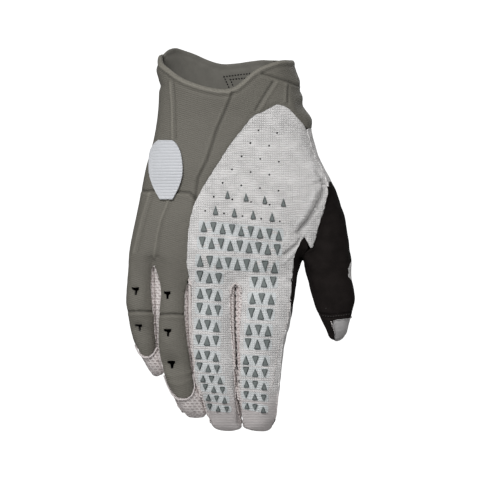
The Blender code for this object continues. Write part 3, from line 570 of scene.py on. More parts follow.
def group_ribs():
    """Lining: straight ribs across the piece."""
    nodes, start, end = group("lining_ribs", ("Height", "Valley"))
    across, down = cells(nodes, start, 10 * MM, 1.1 * MM)
    valley = nodes.smooth(nodes.maths("ABSOLUTE", down), 0.18, 0.5)
    nodes.tree.links.new(nodes.maths("MULTIPLY", valley, -1.0), end.inputs["Height"])
    nodes.tree.links.new(valley, end.inputs["Valley"])
    return nodes.tree


PATTERNS = {
    "waffle_knit": group_waffle,
    "moulded_twill": group_twill,
    "suede_nap": group_nap,
    "oval_net": group_net,
    "lining_ribs": group_ribs,
}


def darker(shade, share):
    """A colour times one share, or times three."""
    shares = share if isinstance(share, tuple) else (share,) * 3
    return tuple(part * one for part, one in zip(shade, shares))


def lighter(shade, share):
    return tuple(min(part * share, 1.0) for part in shade)


def plain_material(name, base, rough, gloss):
    """A matt material of one colour."""
    made = bpy.data.materials.new(name)
    made.use_nodes = True
    shader = made.node_tree.nodes["Principled BSDF"]
    shader.inputs["Roughness"].default_value = rough
    shader.inputs["Specular IOR Level"].default_value = gloss
    shader.inputs["Base Color"].default_value = (*base, 1.0)
    made.diffuse_color = (*base, 1.0)
    return made


def plain_tips(nodes, shade, height):
    """The knit's colour and height, going over to the finely ribbed cloth of the fingertips."""
    tips = tuple(colours().tips)
    upper = place(0, TIPS_FROM)[1]
    lower = place(0, TIPS_FULL)[1]
    level = nodes.add("SeparateXYZ", {0: nodes.add("TexCoord").outputs["Object"]}).outputs[2]
    tip = nodes.maths("SUBTRACT", 1.0, nodes.smooth(level, lower, upper))
    rib = nodes.maths("SINE", nodes.maths("MULTIPLY", level, 2 * math.pi / TIP_RIB))
    line = nodes.smooth(rib, -0.2, 1.0)
    plain = nodes.shades(nodes.maths("MULTIPLY", line, 0.22), tips, darker(tips, 0.6))
    woven = nodes.maths("MULTIPLY", height, nodes.maths("SUBTRACT", 1.0, tip))
    ribbed = nodes.maths("MULTIPLY", nodes.maths("MULTIPLY", line, -0.4), tip)
    return nodes.shades(tip, shade, plain), nodes.maths("ADD", woven, ribbed)


def cloth_material(name, base, pattern, output, dark, share, bump, rough, gloss):
    """A matt cloth whose colour goes darker where the pattern's output is high, with its relief.

    The cloth's stored values of painted light darken its moulded lines with painted shade and lighten its
    ridges with a painted highlight.
    """
    made = plain_material(name, base, rough, gloss)
    nodes = Nodes(made.node_tree)
    shader = made.node_tree.nodes["Principled BSDF"]
    tree = bpy.data.node_groups.get(pattern) or PATTERNS[pattern]()
    where = nodes.add("UVMap", uv_map="Cloth")
    cloth = nodes.add("Group", node_tree=tree)
    made.node_tree.links.new(where.outputs["UV"], cloth.inputs["Place"])
    shade = nodes.shades(nodes.maths("MULTIPLY", cloth.outputs[output], share), base, darker(base, dark))
    height = cloth.outputs["Height"]
    if name == CLOTHS["knit"][0]:
        shade, height = plain_tips(nodes, shade, height)
    # Stored painted light: below zero painted shade in grooves, above zero painted highlight on ridges
    painted_light = nodes.add("Attribute", attribute_name="Relief").outputs["Fac"]
    low = nodes.smooth(nodes.maths("MULTIPLY", painted_light, -1.0), 0.05, 0.9)
    high = nodes.smooth(painted_light, 0.05, 0.9)
    shade = nodes.shades(nodes.maths("MULTIPLY", low, GROOVE_PAINTED_SHADE[0]), shade, darker(base, GROOVE_PAINTED_SHADE[1]))
    shade = nodes.shades(nodes.maths("MULTIPLY", high, RIDGE_PAINTED_HIGHLIGHT[0]), shade, lighter(base, RIDGE_PAINTED_HIGHLIGHT[1]))
    made.node_tree.links.new(shade, shader.inputs["Base Color"])
    relief = nodes.add("Bump", {"Strength": 1.0, "Distance": bump, "Height": height})
    made.node_tree.links.new(relief.outputs["Normal"], shader.inputs["Normal"])
    return made


def finish(name):
    """One of the glove's finishes, made when it is first asked for."""
    make = cloth_material if name in CLOTHS else plain_material
    title, *rest = CLOTHS.get(name) or PLAIN[name]
    if title in bpy.data.materials:
        return bpy.data.materials[title]
    return make(title, tuple(getattr(colours(), name)), *rest)


# Panels

def wall_faces(bm, thickness):
    """The faces on a shell's edge, found by the edges that cross the wall."""
    found = set()
    for edge in bm.edges:
        if abs(edge.calc_length() - thickness) < 0.003 * MM:
            way = (edge.verts[1].co - edge.verts[0].co).normalized()
            across = [max(abs(face.normal.dot(way)) for face in vert.link_faces) for vert in edge.verts]
            if min(across) > 0.1:
                found.update(edge.link_faces)
    return found


def make_quads(bm, thickness):
    """Join the solid's triangles into quads, skin with skin and edge with edge."""
    walls = wall_faces(bm, thickness)
    for edge in bm.edges:
        edge.smooth = len({face in walls for face in edge.link_faces}) < 2
    bmesh.ops.join_triangles(bm, faces=bm.faces, cmp_sharp=True, angle_face_threshold=0.9,
                             angle_shape_threshold=1.6)
    for edge in bm.edges:
        edge.smooth = True
    bm.normal_update()
    return wall_faces(bm, thickness)


def heal(bm, places, reach):
    """Take out the small holes pierced at these places across and up, and fill the cloth in."""
    for x, z in places:
        gone = [vert for vert in bm.verts if math.hypot(vert.co.x - x, vert.co.z - z) < reach]
        bmesh.ops.delete(bm, geom=gone, context="VERTS")
        bmesh.ops.delete(bm, geom=[edge for edge in bm.edges if edge.is_wire], context="EDGES")
        edges = [edge for edge in bm.edges if edge.is_boundary]
        filled = bmesh.ops.holes_fill(bm, edges=edges, sides=0)
        bmesh.ops.triangulate(bm, faces=filled["faces"], ngon_method="BEAUTY")
        edges = [edge for edge in bm.edges if edge.is_boundary]
        if edges:
            bmesh.ops.triangle_fill(bm, edges=edges, use_beauty=True)
    bm.normal_update()


def islands(faces):
    """Groups of faces joined by their edges."""
    left = set(faces)
    out = []
    while left:
        start = left.pop()
        group_now = [start]
        queue = [start]
        while queue:
            face = queue.pop()
            for edge in face.edges:
                for other in edge.link_faces:
                    if other in left:
                        left.remove(other)
                        group_now.append(other)
                        queue.append(other)
        out.append(group_now)
    return out


def hole_places():
    """Middle of each small hole, across and up."""
    for across, down, count in HOLE_ROWS:
        for number in range(count):
            yield place(across + number * HOLE_STEP[0], down + number * HOLE_STEP[1])


SHELLS = {}


def shell(name):
    """A panel's solid as quads, its small holes healed: its bmesh, and the places along its edge."""
    if name in SHELLS:
        return SHELLS[name]
    thickness = PANELS[name][0]
    bm = bmesh.new()
    bm.from_mesh(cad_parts[name].data)
    bmesh.ops.remove_doubles(bm, verts=bm.verts, dist=MERGE)
    bm.normal_update()
    if name in HOLES:
        outline, places, reach, healed = HOLES[name]
        heal(bm, list(places()), healed)
    walls = make_quads(bm, thickness)
    skins = islands([face for face in bm.faces if face not in walls])
    skins.sort(key=lambda part: -sum(face.calc_area() for face in part))
    if name == "cuff_palm_panel":
        skins.sort(key=lambda part: -sum(face.calc_area() * face.normal.y for face in part))
    for face in bm.faces:
        face.material_index = 1
        face.smooth = True
    for face in list(skins[0]) + list(walls):
        face.material_index = 0
    outer = set(skins[0])
    push = {}
    rim = []
    for face in walls:
        for vert in face.verts:
            push[vert] = push.get(vert, Vector()) + face.normal
    crease = bm.edges.layers.float.new("crease_edge")
    for edge in bm.edges:
        kinds = {face in walls for face in edge.link_faces}
        if len(kinds) == 2:
            edge[crease] = 0.72
    far = sizes().seam_push + (sizes().lap if name == "knit_panel" else 0.0)
    for vert, way in push.items():
        vert.co += way.normalized() * far
    for face in walls:
        for edge in face.edges:
            if any(other in outer for other in edge.link_faces):
                rim.append((edge.verts[0].co.copy(), edge.verts[1].co.copy()))
    ends = pulled(np.array([spot[:] for pair in rim for spot in pair]))
    SHELLS[name] = (bm, [(Vector(a), Vector(b)) for a, b in zip(ends[::2], ends[1::2])])
    return SHELLS[name]


def along(segments, step):
    """Places along each segment, about a step apart."""
    out = []
    for a, b in segments:
        count = max(int((b - a).length / step), 1)
        out += [a.lerp(b, i / count) for i in range(count + 1)]
    return out


def seam_tree(name):
    """Finders of the places along this panel's edge that meet another panel, and of the free ones."""
    own = along(shell(name)[1], EDGE_STEP)
    others = []
    for other in PANELS:
        if other != name:
            others += along(shell(other)[1], EDGE_STEP)
    near = KDTree(len(others))
    for number, spot in enumerate(others):
        near.insert(spot, number)
    near.balance()
    seams = [spot for spot in own if near.find(spot)[2] < SEAM_NEAR]
    free = [spot for spot in own if near.find(spot)[2] >= SEAM_NEAR]
    trees = []
    for spots in (seams, free):
        tree = KDTree(max(len(spots), 1))
        for number, spot in enumerate(spots):
            tree.insert(spot, number)
        tree.balance()
        trees.append(tree if spots else None)
    return trees


def to_line(spots, places):
    """Distance from a line of picture places, for an array of them, and on which side."""
    best = np.full(len(spots), 1e9)
    side = np.zeros(len(spots))
    points = np.array(places, float)
    for a, b in zip(points[:-1], points[1:]):
        way = b - a
        length = float(way @ way)
        share = np.clip(((spots - a) @ way) / length, 0.0, 1.0)
        gap = spots - (a + share[:, None] * way)
        far = np.hypot(gap[:, 0], gap[:, 1])
        turn = way[0] * gap[:, 1] - way[1] * gap[:, 0]
        nearer = far < best
        best[nearer] = far[nearer]
        side[nearer] = np.sign(turn[nearer])
    return best, best * side


def form_height(spots, row):
    """Height in metres of one moulded or folded line at picture places."""
    kind, height, width, places = row
    far, signed = to_line(spots, places)
    hill = np.exp(-(far / width) ** 2)
    if kind == "groove":
        return -height * MM * hill
    if kind == "ridge":
        return height * MM * hill
    bulge = np.exp(-((signed - 2.4 * width) / (1.6 * width)) ** 2) * np.exp(-(far / (5.0 * width)) ** 2)
    return height * MM * (-hill + 0.55 * bulge)


def waves(spots, size, seed):
    """Gentle unevenness of cloth, -1 to 1, in lumps of about a size."""
    out = np.zeros(len(spots))
    for number in range(6):
        angle = seed + number * 1.9
        way = np.array([math.cos(angle), math.sin(angle), math.cos(2.3 * angle)])
        out += np.sin(spots @ way * (2.4 + 0.7 * number) / size + seed * 3.1 + number)
    return out / 6.0


def mesh_arrays(mesh):
    spots = np.empty(len(mesh.vertices) * 3)
    mesh.vertices.foreach_get("co", spots)
    normals = np.empty(len(mesh.vertices) * 3)
    mesh.vertices.foreach_get("normal", normals)
    return spots.reshape(-1, 3), normals.reshape(-1, 3)


def lay_pattern(mesh):
    """A flat map in metres: each face is laid down along the axis that it faces."""
    layer = mesh.uv_layers.new(name="Cloth") if "Cloth" not in mesh.uv_layers else mesh.uv_layers["Cloth"]
    spots, normals = mesh_arrays(mesh)
    corner = np.empty(len(mesh.loops), dtype=np.int32)
    mesh.loops.foreach_get("vertex_index", corner)
    starts = np.empty(len(mesh.polygons), dtype=np.int32)
    mesh.polygons.foreach_get("loop_total", starts)
    facing = np.empty(len(mesh.polygons) * 3)
    mesh.polygons.foreach_get("normal", facing)
    facing = np.abs(np.repeat(facing.reshape(-1, 3), starts, axis=0))
    at = spots[corner]
    flat = np.stack([at[:, 0], at[:, 2]], axis=1)
    sideways = (facing[:, 0] > facing[:, 1] * 1.15) & (facing[:, 0] >= facing[:, 2])
    flat[sideways] = np.stack([at[sideways, 1], at[sideways, 2]], axis=1)
    level = (facing[:, 2] > facing[:, 0]) & (facing[:, 2] > facing[:, 1] * 1.15)
    flat[level] = np.stack([at[level, 0], at[level, 1]], axis=1)
    layer.data.foreach_set("uv", flat.ravel())


def baked(bm, name, level):
    """The shell made smooth by a subdivision surface, as a finished object."""
    mesh = bpy.data.meshes.new(name)
    bm.to_mesh(mesh)
    thing = bpy.data.objects.new(name, mesh)
    bpy.context.scene.collection.objects.link(thing)
    soft = thing.modifiers.new("soft", "SUBSURF")
    soft.levels = level
    soft.render_levels = level
    soft.uv_smooth = "NONE"
    bpy.context.view_layer.update()
    smooth = bpy.data.meshes.new_from_object(thing.evaluated_get(bpy.context.evaluated_depsgraph_get()))
    thing.modifiers.clear()
    thing.data = smooth
    bpy.data.meshes.remove(mesh)
    return thing


def refine(mesh, name):
    """Halve the faces near moulded lines, so that they come out crisp."""
    bm = bmesh.new()
    bm.from_mesh(mesh)
    for number in range(sizes().fine):
        edges = [edge for edge in bm.edges if all(face.material_index == 0 for face in edge.link_faces)]
        middles = np.array([((e.verts[0].co + e.verts[1].co) * 0.5)[:] for e in edges])
        spots = picture_places(middles)
        near = np.full(len(edges), 1e9)
        for kind, height, width, places in FORMS.get(name, ()):
            near = np.minimum(near, to_line(spots, places)[0] / ((2.6 - 1.3 * number) * width))
        front = middles[:, 1] < FRONT_DEPTH
        chosen = [edge for edge, far, ahead in zip(edges, near, front)
                  if far < 1.0 and ahead and edge.calc_length() > SHORTEST_EDGE]
        if chosen:
            bmesh.ops.subdivide_edges(bm, edges=chosen, cuts=1, use_grid_fill=True, smooth=0.0)
    bm.to_mesh(mesh)
    bm.free()


def picture_places(spots):
    return np.stack([spots[:, 0] / PIXEL + ZERO_ACROSS, ZERO_DOWN - spots[:, 2] / PIXEL], axis=1)


def pulled(spots):
    """Places moved by the gentle pulls of the outline."""
    pixels = picture_places(spots)
    moved = spots.copy()
    for across, down, reach_across, reach_down, shift_across, shift_down in PULLS:
        share = np.exp(-((pixels[:, 0] - across) / reach_across) ** 2
                       - ((pixels[:, 1] - down) / reach_down) ** 2)
        moved[:, 0] += share * shift_across * PIXEL
        moved[:, 2] -= share * shift_down * PIXEL
    return moved


def evened(mesh, values, turns):
    """Rows of values at the points, each drawn half way to the mean of its neighbours so many times."""
    edges = np.empty(len(mesh.edges) * 2, dtype=np.int32)
    mesh.edges.foreach_get("vertices", edges)
    first, second = edges[::2], edges[1::2]
    count = np.maximum(np.bincount(edges, minlength=len(values)), 1)
    for turn in range(turns):
        for column in values.T:
            total = np.bincount(first, column[second], len(column))
            total += np.bincount(second, column[first], len(column))
            column[:] = 0.5 * column + 0.5 * total / count
    return values


def ways_out(mesh, spots, normals, outside, rim_far):
    """The way out of the cloth at each point: beside an edge, that of the skin a little further in."""
    ways = normals * np.where(outside, 1.0, -1.0)[:, None]
    sure = np.flatnonzero(outside & (rim_far > RIM_REACH))
    if len(sure) < 20:
        return ways
    tree = KDTree(len(sure))
    for number in sure:
        tree.insert(spots[number], number)
    tree.balance()
    for number in np.flatnonzero(rim_far <= RIM_REACH):
        ways[number] = ways[tree.find(spots[number])[1]]
    near = rim_far <= RIM_BLEND
    ways[near] = evened(mesh, ways.copy(), 8)[near]
    return ways / np.maximum(np.linalg.norm(ways, axis=1), 1e-6)[:, None]


def gap_half(mesh, spots, ways, outside, wall, limit):
    """Half of the gap across to the cloth that faces each point, sideways, evened out."""
    corners = [tuple(spot) for spot in spots]
    tree = BVHTree.FromPolygons(corners, [tuple(face.vertices) for face in mesh.polygons])
    half = np.zeros(len(spots))
    for number in np.flatnonzero(np.abs(ways[:, 0]) > 0.2):
        side = math.copysign(1.0, ways[number, 0])
        clear = 0.2 * MM if outside[number] else wall + 0.4 * MM
        start = Vector(spots[number]) + Vector((side * clear, 0.0, 0.0))
        spot, normal, index, far = tree.ray_cast(start, Vector((side, 0.0, 0.0)), 8 * MM)
        if spot is not None:
            half[number] = min(max(0.5 * far - 0.02 * MM, 0.0), limit) * side
    return evened(mesh, half[:, None], 12)[:, 0]


def distances(tree, spots):
    """How far each spot lies from the places in a tree, or 1 m where it has none."""
    if tree is None:
        return np.full(len(spots), 1.0)
    return np.array([tree.find(spot)[2] for spot in spots])


def folds(name, pixels):
    """Height of a panel's moulded and folded lines and of the dimples round its vents, and their painted
    shade and painted highlight.
    """
    rise = np.zeros(len(pixels))
    painted_light = np.zeros(len(pixels))
    for row in FORMS.get(name, ()):
        raised = form_height(pixels, row)
        rise += raised
        # Painted shade in the line's groove and painted highlight on its ridge
        painted_light += raised / (row[1] * MM) * min(row[1], 0.8)
    if name == "back_panel":
        depth, reach, dimple_painted_shade, dimple_shade_reach = VENT_DIMPLE
        for vent in VENTS:
            far = np.hypot(pixels[:, 0] - vent[0], pixels[:, 1] - vent[1])
            rise -= depth * np.exp(-(far / reach) ** 2)
            # Painted shade in the dimple round each vent
            painted_light -= dimple_painted_shade * np.exp(-(far / dimple_shade_reach) ** 2)
    return rise, painted_light


def relief(mesh, name):
    """Moulded lines, folds, drawn-in seams and unevenness, laid on the smooth shell."""
    spots, normals = mesh_arrays(mesh)
    spots = pulled(spots)
    pixels = picture_places(spots)
    outside = side_of(mesh)
    wall = PANELS[name][0]
    soft = sizes()
    seams, free = seam_tree(name)
    seam_far = distances(seams, spots)
    free_far = distances(free, spots)
    edge_far = np.minimum(seam_far, free_far)
    if name in HOLES:
        outline, places, reach, healed = HOLES[name]
        for x, z in places():
            edge_far[np.hypot(spots[:, 0] - x, spots[:, 2] - z) < reach] = 0.0
    ways = ways_out(mesh, spots, normals, outside, edge_far)
    front = np.clip((0.10 - ways[:, 1]) / 0.40, 0.0, 1.0)
    rise, painted_light = folds(name, pixels)
    height, lump = UNEVEN.get(name, UNEVEN_OTHERS)
    outward = rise * front + height * waves(spots, lump, 0.7 + 0.1 * len(name))
    if name.startswith("gusset"):
        outward += STRIP_LUMPS[0] * waves(spots, STRIP_LUMPS[1], 2.2)
    if name == "knit_panel":
        sway = 2.4 * waves(spots, 9 * MM, 4.1)
        level = np.sin(spots[:, 2] / KNIT_ROW_LENGTH + sway) * waves(spots, 6 * MM, 0.4)
        level *= np.clip((KNIT_ROWS_END - pixels[:, 1]) / KNIT_ROWS_FADE, 0.0, 1.0)
        outward += KNIT_ROW_HEIGHT * MM * level
        # Painted shade in the knit rows' hollows and painted highlight on their crests
        painted_light += KNIT_ROW_HEIGHT * level
    if seams is not None:
        near = np.exp(-(seam_far / (2.6 * soft.seam_reach)) ** 2)
        outward -= SEAM_DIPS.get(name, 1.0) * soft.seam_dip * np.exp(-(seam_far / soft.seam_reach) ** 2)
        outward += soft.pucker * waves(spots, 3.4 * MM, 1.3) * near
    if free is not None and name in ("back_panel", "cuff_palm_panel"):
        outward += soft.hem * np.exp(-((free_far - 1.3 * MM) / (1.1 * MM)) ** 2)
        outward -= 0.5 * soft.hem * np.exp(-((free_far - 3.6 * MM) / (0.8 * MM)) ** 2)
        # Painted highlight along the hem's folded edge
        painted_light += 0.8 * np.exp(-((free_far - 0.9 * MM) / (0.7 * MM)) ** 2)
    moved = spots + ways * outward[:, None]
    if name.startswith("gusset"):
        share = np.clip(seam_far / ((5.5 if name.endswith("index") else 3.0) * MM), 0.0, 1.0)
        share = share * share * (3 - 2 * share)
        moved[:, 0] += gap_half(mesh, moved, ways, outside, wall, soft.gap_fill) * share
    if name == "knit_panel":
        across, half, down, over = TIPS_MEET
        share = np.clip((pixels[:, 1] - down) / over, 0.0, 1.0) * (np.abs(pixels[:, 0] - across) < half)
        moved[:, 0] += gap_half(mesh, moved, ways, outside, wall, TIPS_FILL) * share
    mesh.vertices.foreach_set("co", moved.ravel())
    mesh.update()
    # Kept for the cloth's colour: painted shade in grooves, creases, dimples and hollows, painted
    # highlight on ridges and hems
    layer = mesh.attributes.new("Relief", "FLOAT", "POINT")
    layer.data.foreach_set("value", np.clip(painted_light * front, -1.0, 1.0))


def side_of(mesh):
    """True for the points of the outside, whose faces carry the first finish."""
    outside = np.zeros(len(mesh.vertices), dtype=bool)
    corner = np.empty(len(mesh.loops), dtype=np.int32)
    mesh.loops.foreach_get("vertex_index", corner)
    totals = np.empty(len(mesh.polygons), dtype=np.int32)
    mesh.polygons.foreach_get("loop_total", totals)
    index = np.empty(len(mesh.polygons), dtype=np.int32)
    mesh.polygons.foreach_get("material_index", index)
    outside[corner[np.repeat(index, totals) == 0]] = True
    return outside


def pierce(thing, outline, places):
    """Cut holes of one outline through a panel, square to its cloth at places across and up."""
    tree = surface(thing)
    prisms = bmesh.new()
    for x, z in places:
        spot, normal = on_front(tree, x, z)
        prism(prisms, outline, spot, normal, 2.5 * MM, 3.6 * MM)
    bmesh.ops.recalc_face_normals(prisms, faces=prisms.faces)
    for face in prisms.faces:
        face.material_index = 1
    cutter = bpy.data.objects.new("cutter", bpy.data.meshes.new("cutter"))
    prisms.to_mesh(cutter.data)
    prisms.free()
    bpy.context.scene.collection.objects.link(cutter)
    cut = thing.modifiers.new("holes", "BOOLEAN")
    cut.operation = "DIFFERENCE"
    cut.solver = "EXACT"
    cut.object = cutter
    bpy.context.view_layer.update()
    mesh = bpy.data.meshes.new_from_object(thing.evaluated_get(bpy.context.evaluated_depsgraph_get()))
    thing.modifiers.clear()
    old = thing.data
    thing.data = mesh
    bpy.data.meshes.remove(old)
    data = cutter.data
    bpy.data.objects.remove(cutter, do_unlink=True)
    bpy.data.meshes.remove(data)


def surface(thing):
    """A finder of places on a finished piece."""
    bm = bmesh.new()
    bm.from_mesh(thing.data)
    tree = BVHTree.FromBMesh(bm)
    bm.free()
    return tree


def on_front(tree, x, z):
    """The spot seen from the front at a place, or else the nearest, and the way out of the cloth."""
    spot, normal, index, far = tree.ray_cast(Vector((x, -0.2, z)), Vector((0.0, 1.0, 0.0)))
    if spot is None:
        spot, normal, index, far = tree.find_nearest(Vector((x, -8 * MM, z)))
    return spot, normal


def prism(bm, outline, spot, normal, above, below):
    """A prism with that outline, standing on the cloth and reaching through it."""
    up = Vector((0.0, 0.0, 1.0))
    up = (up - normal * up.dot(normal)).normalized()
    side = up.cross(normal)
    base = bm.faces.new([bm.verts.new(spot + side * x + up * z - normal * below) for x, z in outline])
    grown = bmesh.ops.extrude_face_region(bm, geom=[base])
    top = [v for v in grown["geom"] if isinstance(v, bmesh.types.BMVert)]
    bmesh.ops.translate(bm, verts=top, vec=normal * (above + below))


def vent_places():
    return [place(*vent) for vent in VENTS]


def grown_outline(shares, size):
    return [(a * size, b * size) for a, b in shares]


def round_outline(radius, count=10):
    """Corners of an even outline round its middle."""
    turns = [2 * math.pi * i / count for i in range(count)]
    return [(radius * math.cos(turn), radius * math.sin(turn)) for turn in turns]


# Holes of a panel: their outline, their places, how far one reaches from its middle, and how far round
# it the solid's own hole is taken out
HOLES = {
    "back_panel": (grown_outline(VENT_OUTLINE, VENT_SIZE), vent_places, 2.8 * MM, 3.0 * MM),
    "knit_panel": (round_outline(HOLE_RADIUS), hole_places, 0.8 * MM, 1.05 * MM),
}


def make_panel(name):
    """One sewn panel: smooth shell, relief, finishes and what it stands for."""
    wall, level, outside, inside, slot, flat = PANELS[name]
    bm, rim = shell(name)
    thing = baked(bm, name + "_cloth", level)
    thing.data.materials.clear()
    thing.data.materials.append(finish(outside))
    thing.data.materials.append(finish(inside))
    if name in FORMS:
        refine(thing.data, name)
    if name in HOLES:
        outline, places, reach, healed = HOLES[name]
        pierce(thing, outline, places())
    relief(thing.data, name)
    thing.data.set_sharp_from_angle(angle=1.0)
    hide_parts(name)
    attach(thing, "root")
    return thing


def paint(thing, name, boxes):
    """Give the faces whose middle lies in one of the boxes another finish, and say its number.

    A box: number of the finish that it takes the place of, across from and to, down from and to, and
    depth below which.
    """
    thing.data.materials.append(finish(name))
    added = len(thing.data.materials) - 1
    for face in thing.data.polygons:
        across = face.center.x / PIXEL + ZERO_ACROSS
        down = ZERO_DOWN - face.center.z / PIXEL
        for index, left, right, upper, lower, depth in boxes:
            if face.material_index == index and left < across < right and upper < down < lower:
                if face.center.y < depth:
                    face.material_index = added
                    break
    return added


def paint_oval(thing, added):
    """Give the faces of the oval on the thumb's side a finish that it already has."""
    least, middle, half, depth, half_depth = THUMB_OVAL
    for face in thing.data.polygons:
        across = face.center.x / PIXEL + ZERO_ACROSS
        down = ZERO_DOWN - face.center.z / PIXEL
        far = math.hypot((down - middle) / half, (face.center.y - depth) / half_depth)
        if face.material_index == 0 and across > least and far < 1.0:
            face.material_index = added


def close_panel(thing, name):
    lay_pattern(thing.data)
    wall, level, outside, inside, slot, flat = PANELS[name]


class GloveOperator(bpy.types.Operator):
    """Base of the glove's operators."""

    bl_options = {"REGISTER", "UNDO"}


class GLOVE_OT_back(GloveOperator):
    """Moulded grey back with its embossed lines and vents."""

    bl_idname = "glove.back"
    bl_label = "Moulded back"

    def execute(self, context):
        close_panel(make_panel("back_panel"), "back_panel")
        return {"FINISHED"}


class GLOVE_OT_knit(GloveOperator):
    """Light knit over the knuckles with its small holes."""

    bl_idname = "glove.knit"
    bl_label = "Knit panel"

    def execute(self, context):
        close_panel(make_panel("knit_panel"), "knit_panel")
        return {"FINISHED"}


class GLOVE_OT_leather(GloveOperator):
    """Black suede palm and thumb with the light patch on the thumb's tip."""

    bl_idname = "glove.leather"
    bl_label = "Palm and thumb"

    def execute(self, context):
        for name in ("palm_panel", "thumb_wrap", "thumb_tip_patch"):
            thing = make_panel(name)
            if name != "thumb_tip_patch":
                light = paint(thing, "knit", SIDES)
            if name == "thumb_wrap":
                paint_oval(thing, light)
            close_panel(thing, name)
        return {"FINISHED"}


class GLOVE_OT_cuff(GloveOperator):
    """Cuff cloth on the palm side."""

    bl_idname = "glove.cuff"
    bl_label = "Cuff"

    def execute(self, context):
        thing = make_panel("cuff_palm_panel")
        # Dark lining over the far end of the cuff's inside: painted shade in the opening
        paint(thing, "lining", LINING_SHADE)
        close_panel(thing, "cuff_palm_panel")
        return {"FINISHED"}


class GLOVE_OT_gussets(GloveOperator):
    """Mesh strips between the fingers."""

    bl_idname = "glove.gussets"
    bl_label = "Gussets"

    def execute(self, context):
        for name in ("gusset_pinky_ring", "gusset_ring_middle", "gusset_middle_index"):
            close_panel(make_panel(name), name)
        return {"FINISHED"}


class GLOVE_OT_plate(GloveOperator):
    """Plain ribbed plate on the back of the hand."""

    bl_idname = "glove.plate"
    bl_label = "Plate"

    def execute(self, context):
        bm = bmesh.new()
        bm.from_mesh(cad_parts["back_badge"].data)
        bmesh.ops.remove_doubles(bm, verts=bm.verts, dist=MERGE)
        bmesh.ops.join_triangles(bm, faces=bm.faces, angle_face_threshold=0.9, angle_shape_threshold=1.6)
        bm.normal_update()
        crease = bm.edges.layers.float.new("crease_edge")
        for edge in bm.edges:
            if edge.calc_face_angle(0.0) > 0.9:
                edge[crease] = 0.8
        for face in bm.faces:
            face.smooth = True
        thing = baked(bm, "back_plate", 4)
        bm.free()
        spots, normals = mesh_arrays(thing.data)
        pixels = picture_places(spots)
        top = np.clip((-normals[:, 1] - 0.45) / 0.3, 0.0, 1.0)
        first, spacing, middle, half = PLATE_RIBS
        ribs = 0.5 - 0.5 * np.cos(2 * np.pi * (pixels[:, 1] - first) / spacing)
        inside = np.clip((half - np.abs(pixels[:, 0] - middle)) / 2.0, 0.0, 1.0)
        spots[:, 1] += PLATE_RIB_HEIGHT * ribs * top * inside
        thing.data.vertices.foreach_set("co", spots.ravel())
        thing.data.update()
        thing.data.materials.clear()
        thing.data.materials.append(finish("plate"))
        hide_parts("back_badge")
        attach(thing, "root")
        return {"FINISHED"}


def new_piece(bm, name, finishes, smooth=True):
    """A finished loose piece that goes with the glove."""
    mesh = bpy.data.meshes.new(name)
    for face in bm.faces:
        face.smooth = smooth
    bm.to_mesh(mesh)
    bm.free()
    thing = bpy.data.objects.new(name, mesh)
    bpy.context.scene.collection.objects.link(thing)
    for item in finishes:
        mesh.materials.append(finish(item))
    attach(thing, "root")
    return thing


def lay_on(bm, tree):
    """Bend flat work, drawn across and up with its height along -Y, onto the cloth."""
    for vert in list(bm.verts):
        spot, normal = on_front(tree, vert.co.x, vert.co.z)
        vert.co = spot + normal * -vert.co.y


def pad_places():
    """Each pad's place, turn and size, in metres."""
    for across, down, step_across, step_down, count, turn, width, height, film in PAD_ROWS:
        for number in range(count):
            x, z = place(across + number * step_across, down + number * step_down)
            way = turn if turn in (1, -1) and number % 2 == 0 else -turn
            if turn == 2:
                way = 1
            yield x, z, way, width * PIXEL, height * PIXEL


class GLOVE_OT_pads(GloveOperator):
    """Raised three-cornered pads in rows, with rims and sides darkened as painted shade."""

    bl_idname = "glove.pads"
    bl_label = "Pads"

    def execute(self, context):
        tree = surface(bpy.data.objects["knit_panel_cloth"])
        rim = sizes().pad_rim
        bm = bmesh.new()
        for x, z, way, width, height in pad_places():
            foot = z - 0.5 * height * way
            head = z + 0.5 * height * way
            corners = [(x - 0.5 * width, foot), (x + 0.5 * width, foot), (x, head)]
            if way < 0:
                corners.reverse()
            bm.faces.new([bm.verts.new((a, 0.15 * MM, b)) for a, b in corners])
        bmesh.ops.bevel(bm, geom=list(bm.verts), offset=0.55 * MM, offset_type="OFFSET", segments=2,
                        profile=0.5, affect="VERTICES", material=-1)
        grown = bmesh.ops.extrude_discrete_faces(bm, faces=list(bm.faces))
        tops = grown["faces"]
        bmesh.ops.translate(bm, verts=list({v for f in tops for v in f.verts}),
                            vec=(0.0, -(sizes().pad_height + 0.15 * MM), 0.0))
        # Sides and a ring round each top take the dark rim colour, painted shade at the pads' edges
        for face in bm.faces:
            face.material_index = 1
        bmesh.ops.inset_individual(bm, faces=tops, thickness=rim, depth=0.0)
        for face in tops:
            face.material_index = 0
        bmesh.ops.inset_individual(bm, faces=tops, thickness=0.5 * rim, depth=0.08 * MM)
        bmesh.ops.recalc_face_normals(bm, faces=bm.faces)
        lay_on(bm, tree)
        new_piece(bm, "knuckle_pads", ("pad", "pad_rim"), smooth=False)
        return {"FINISHED"}


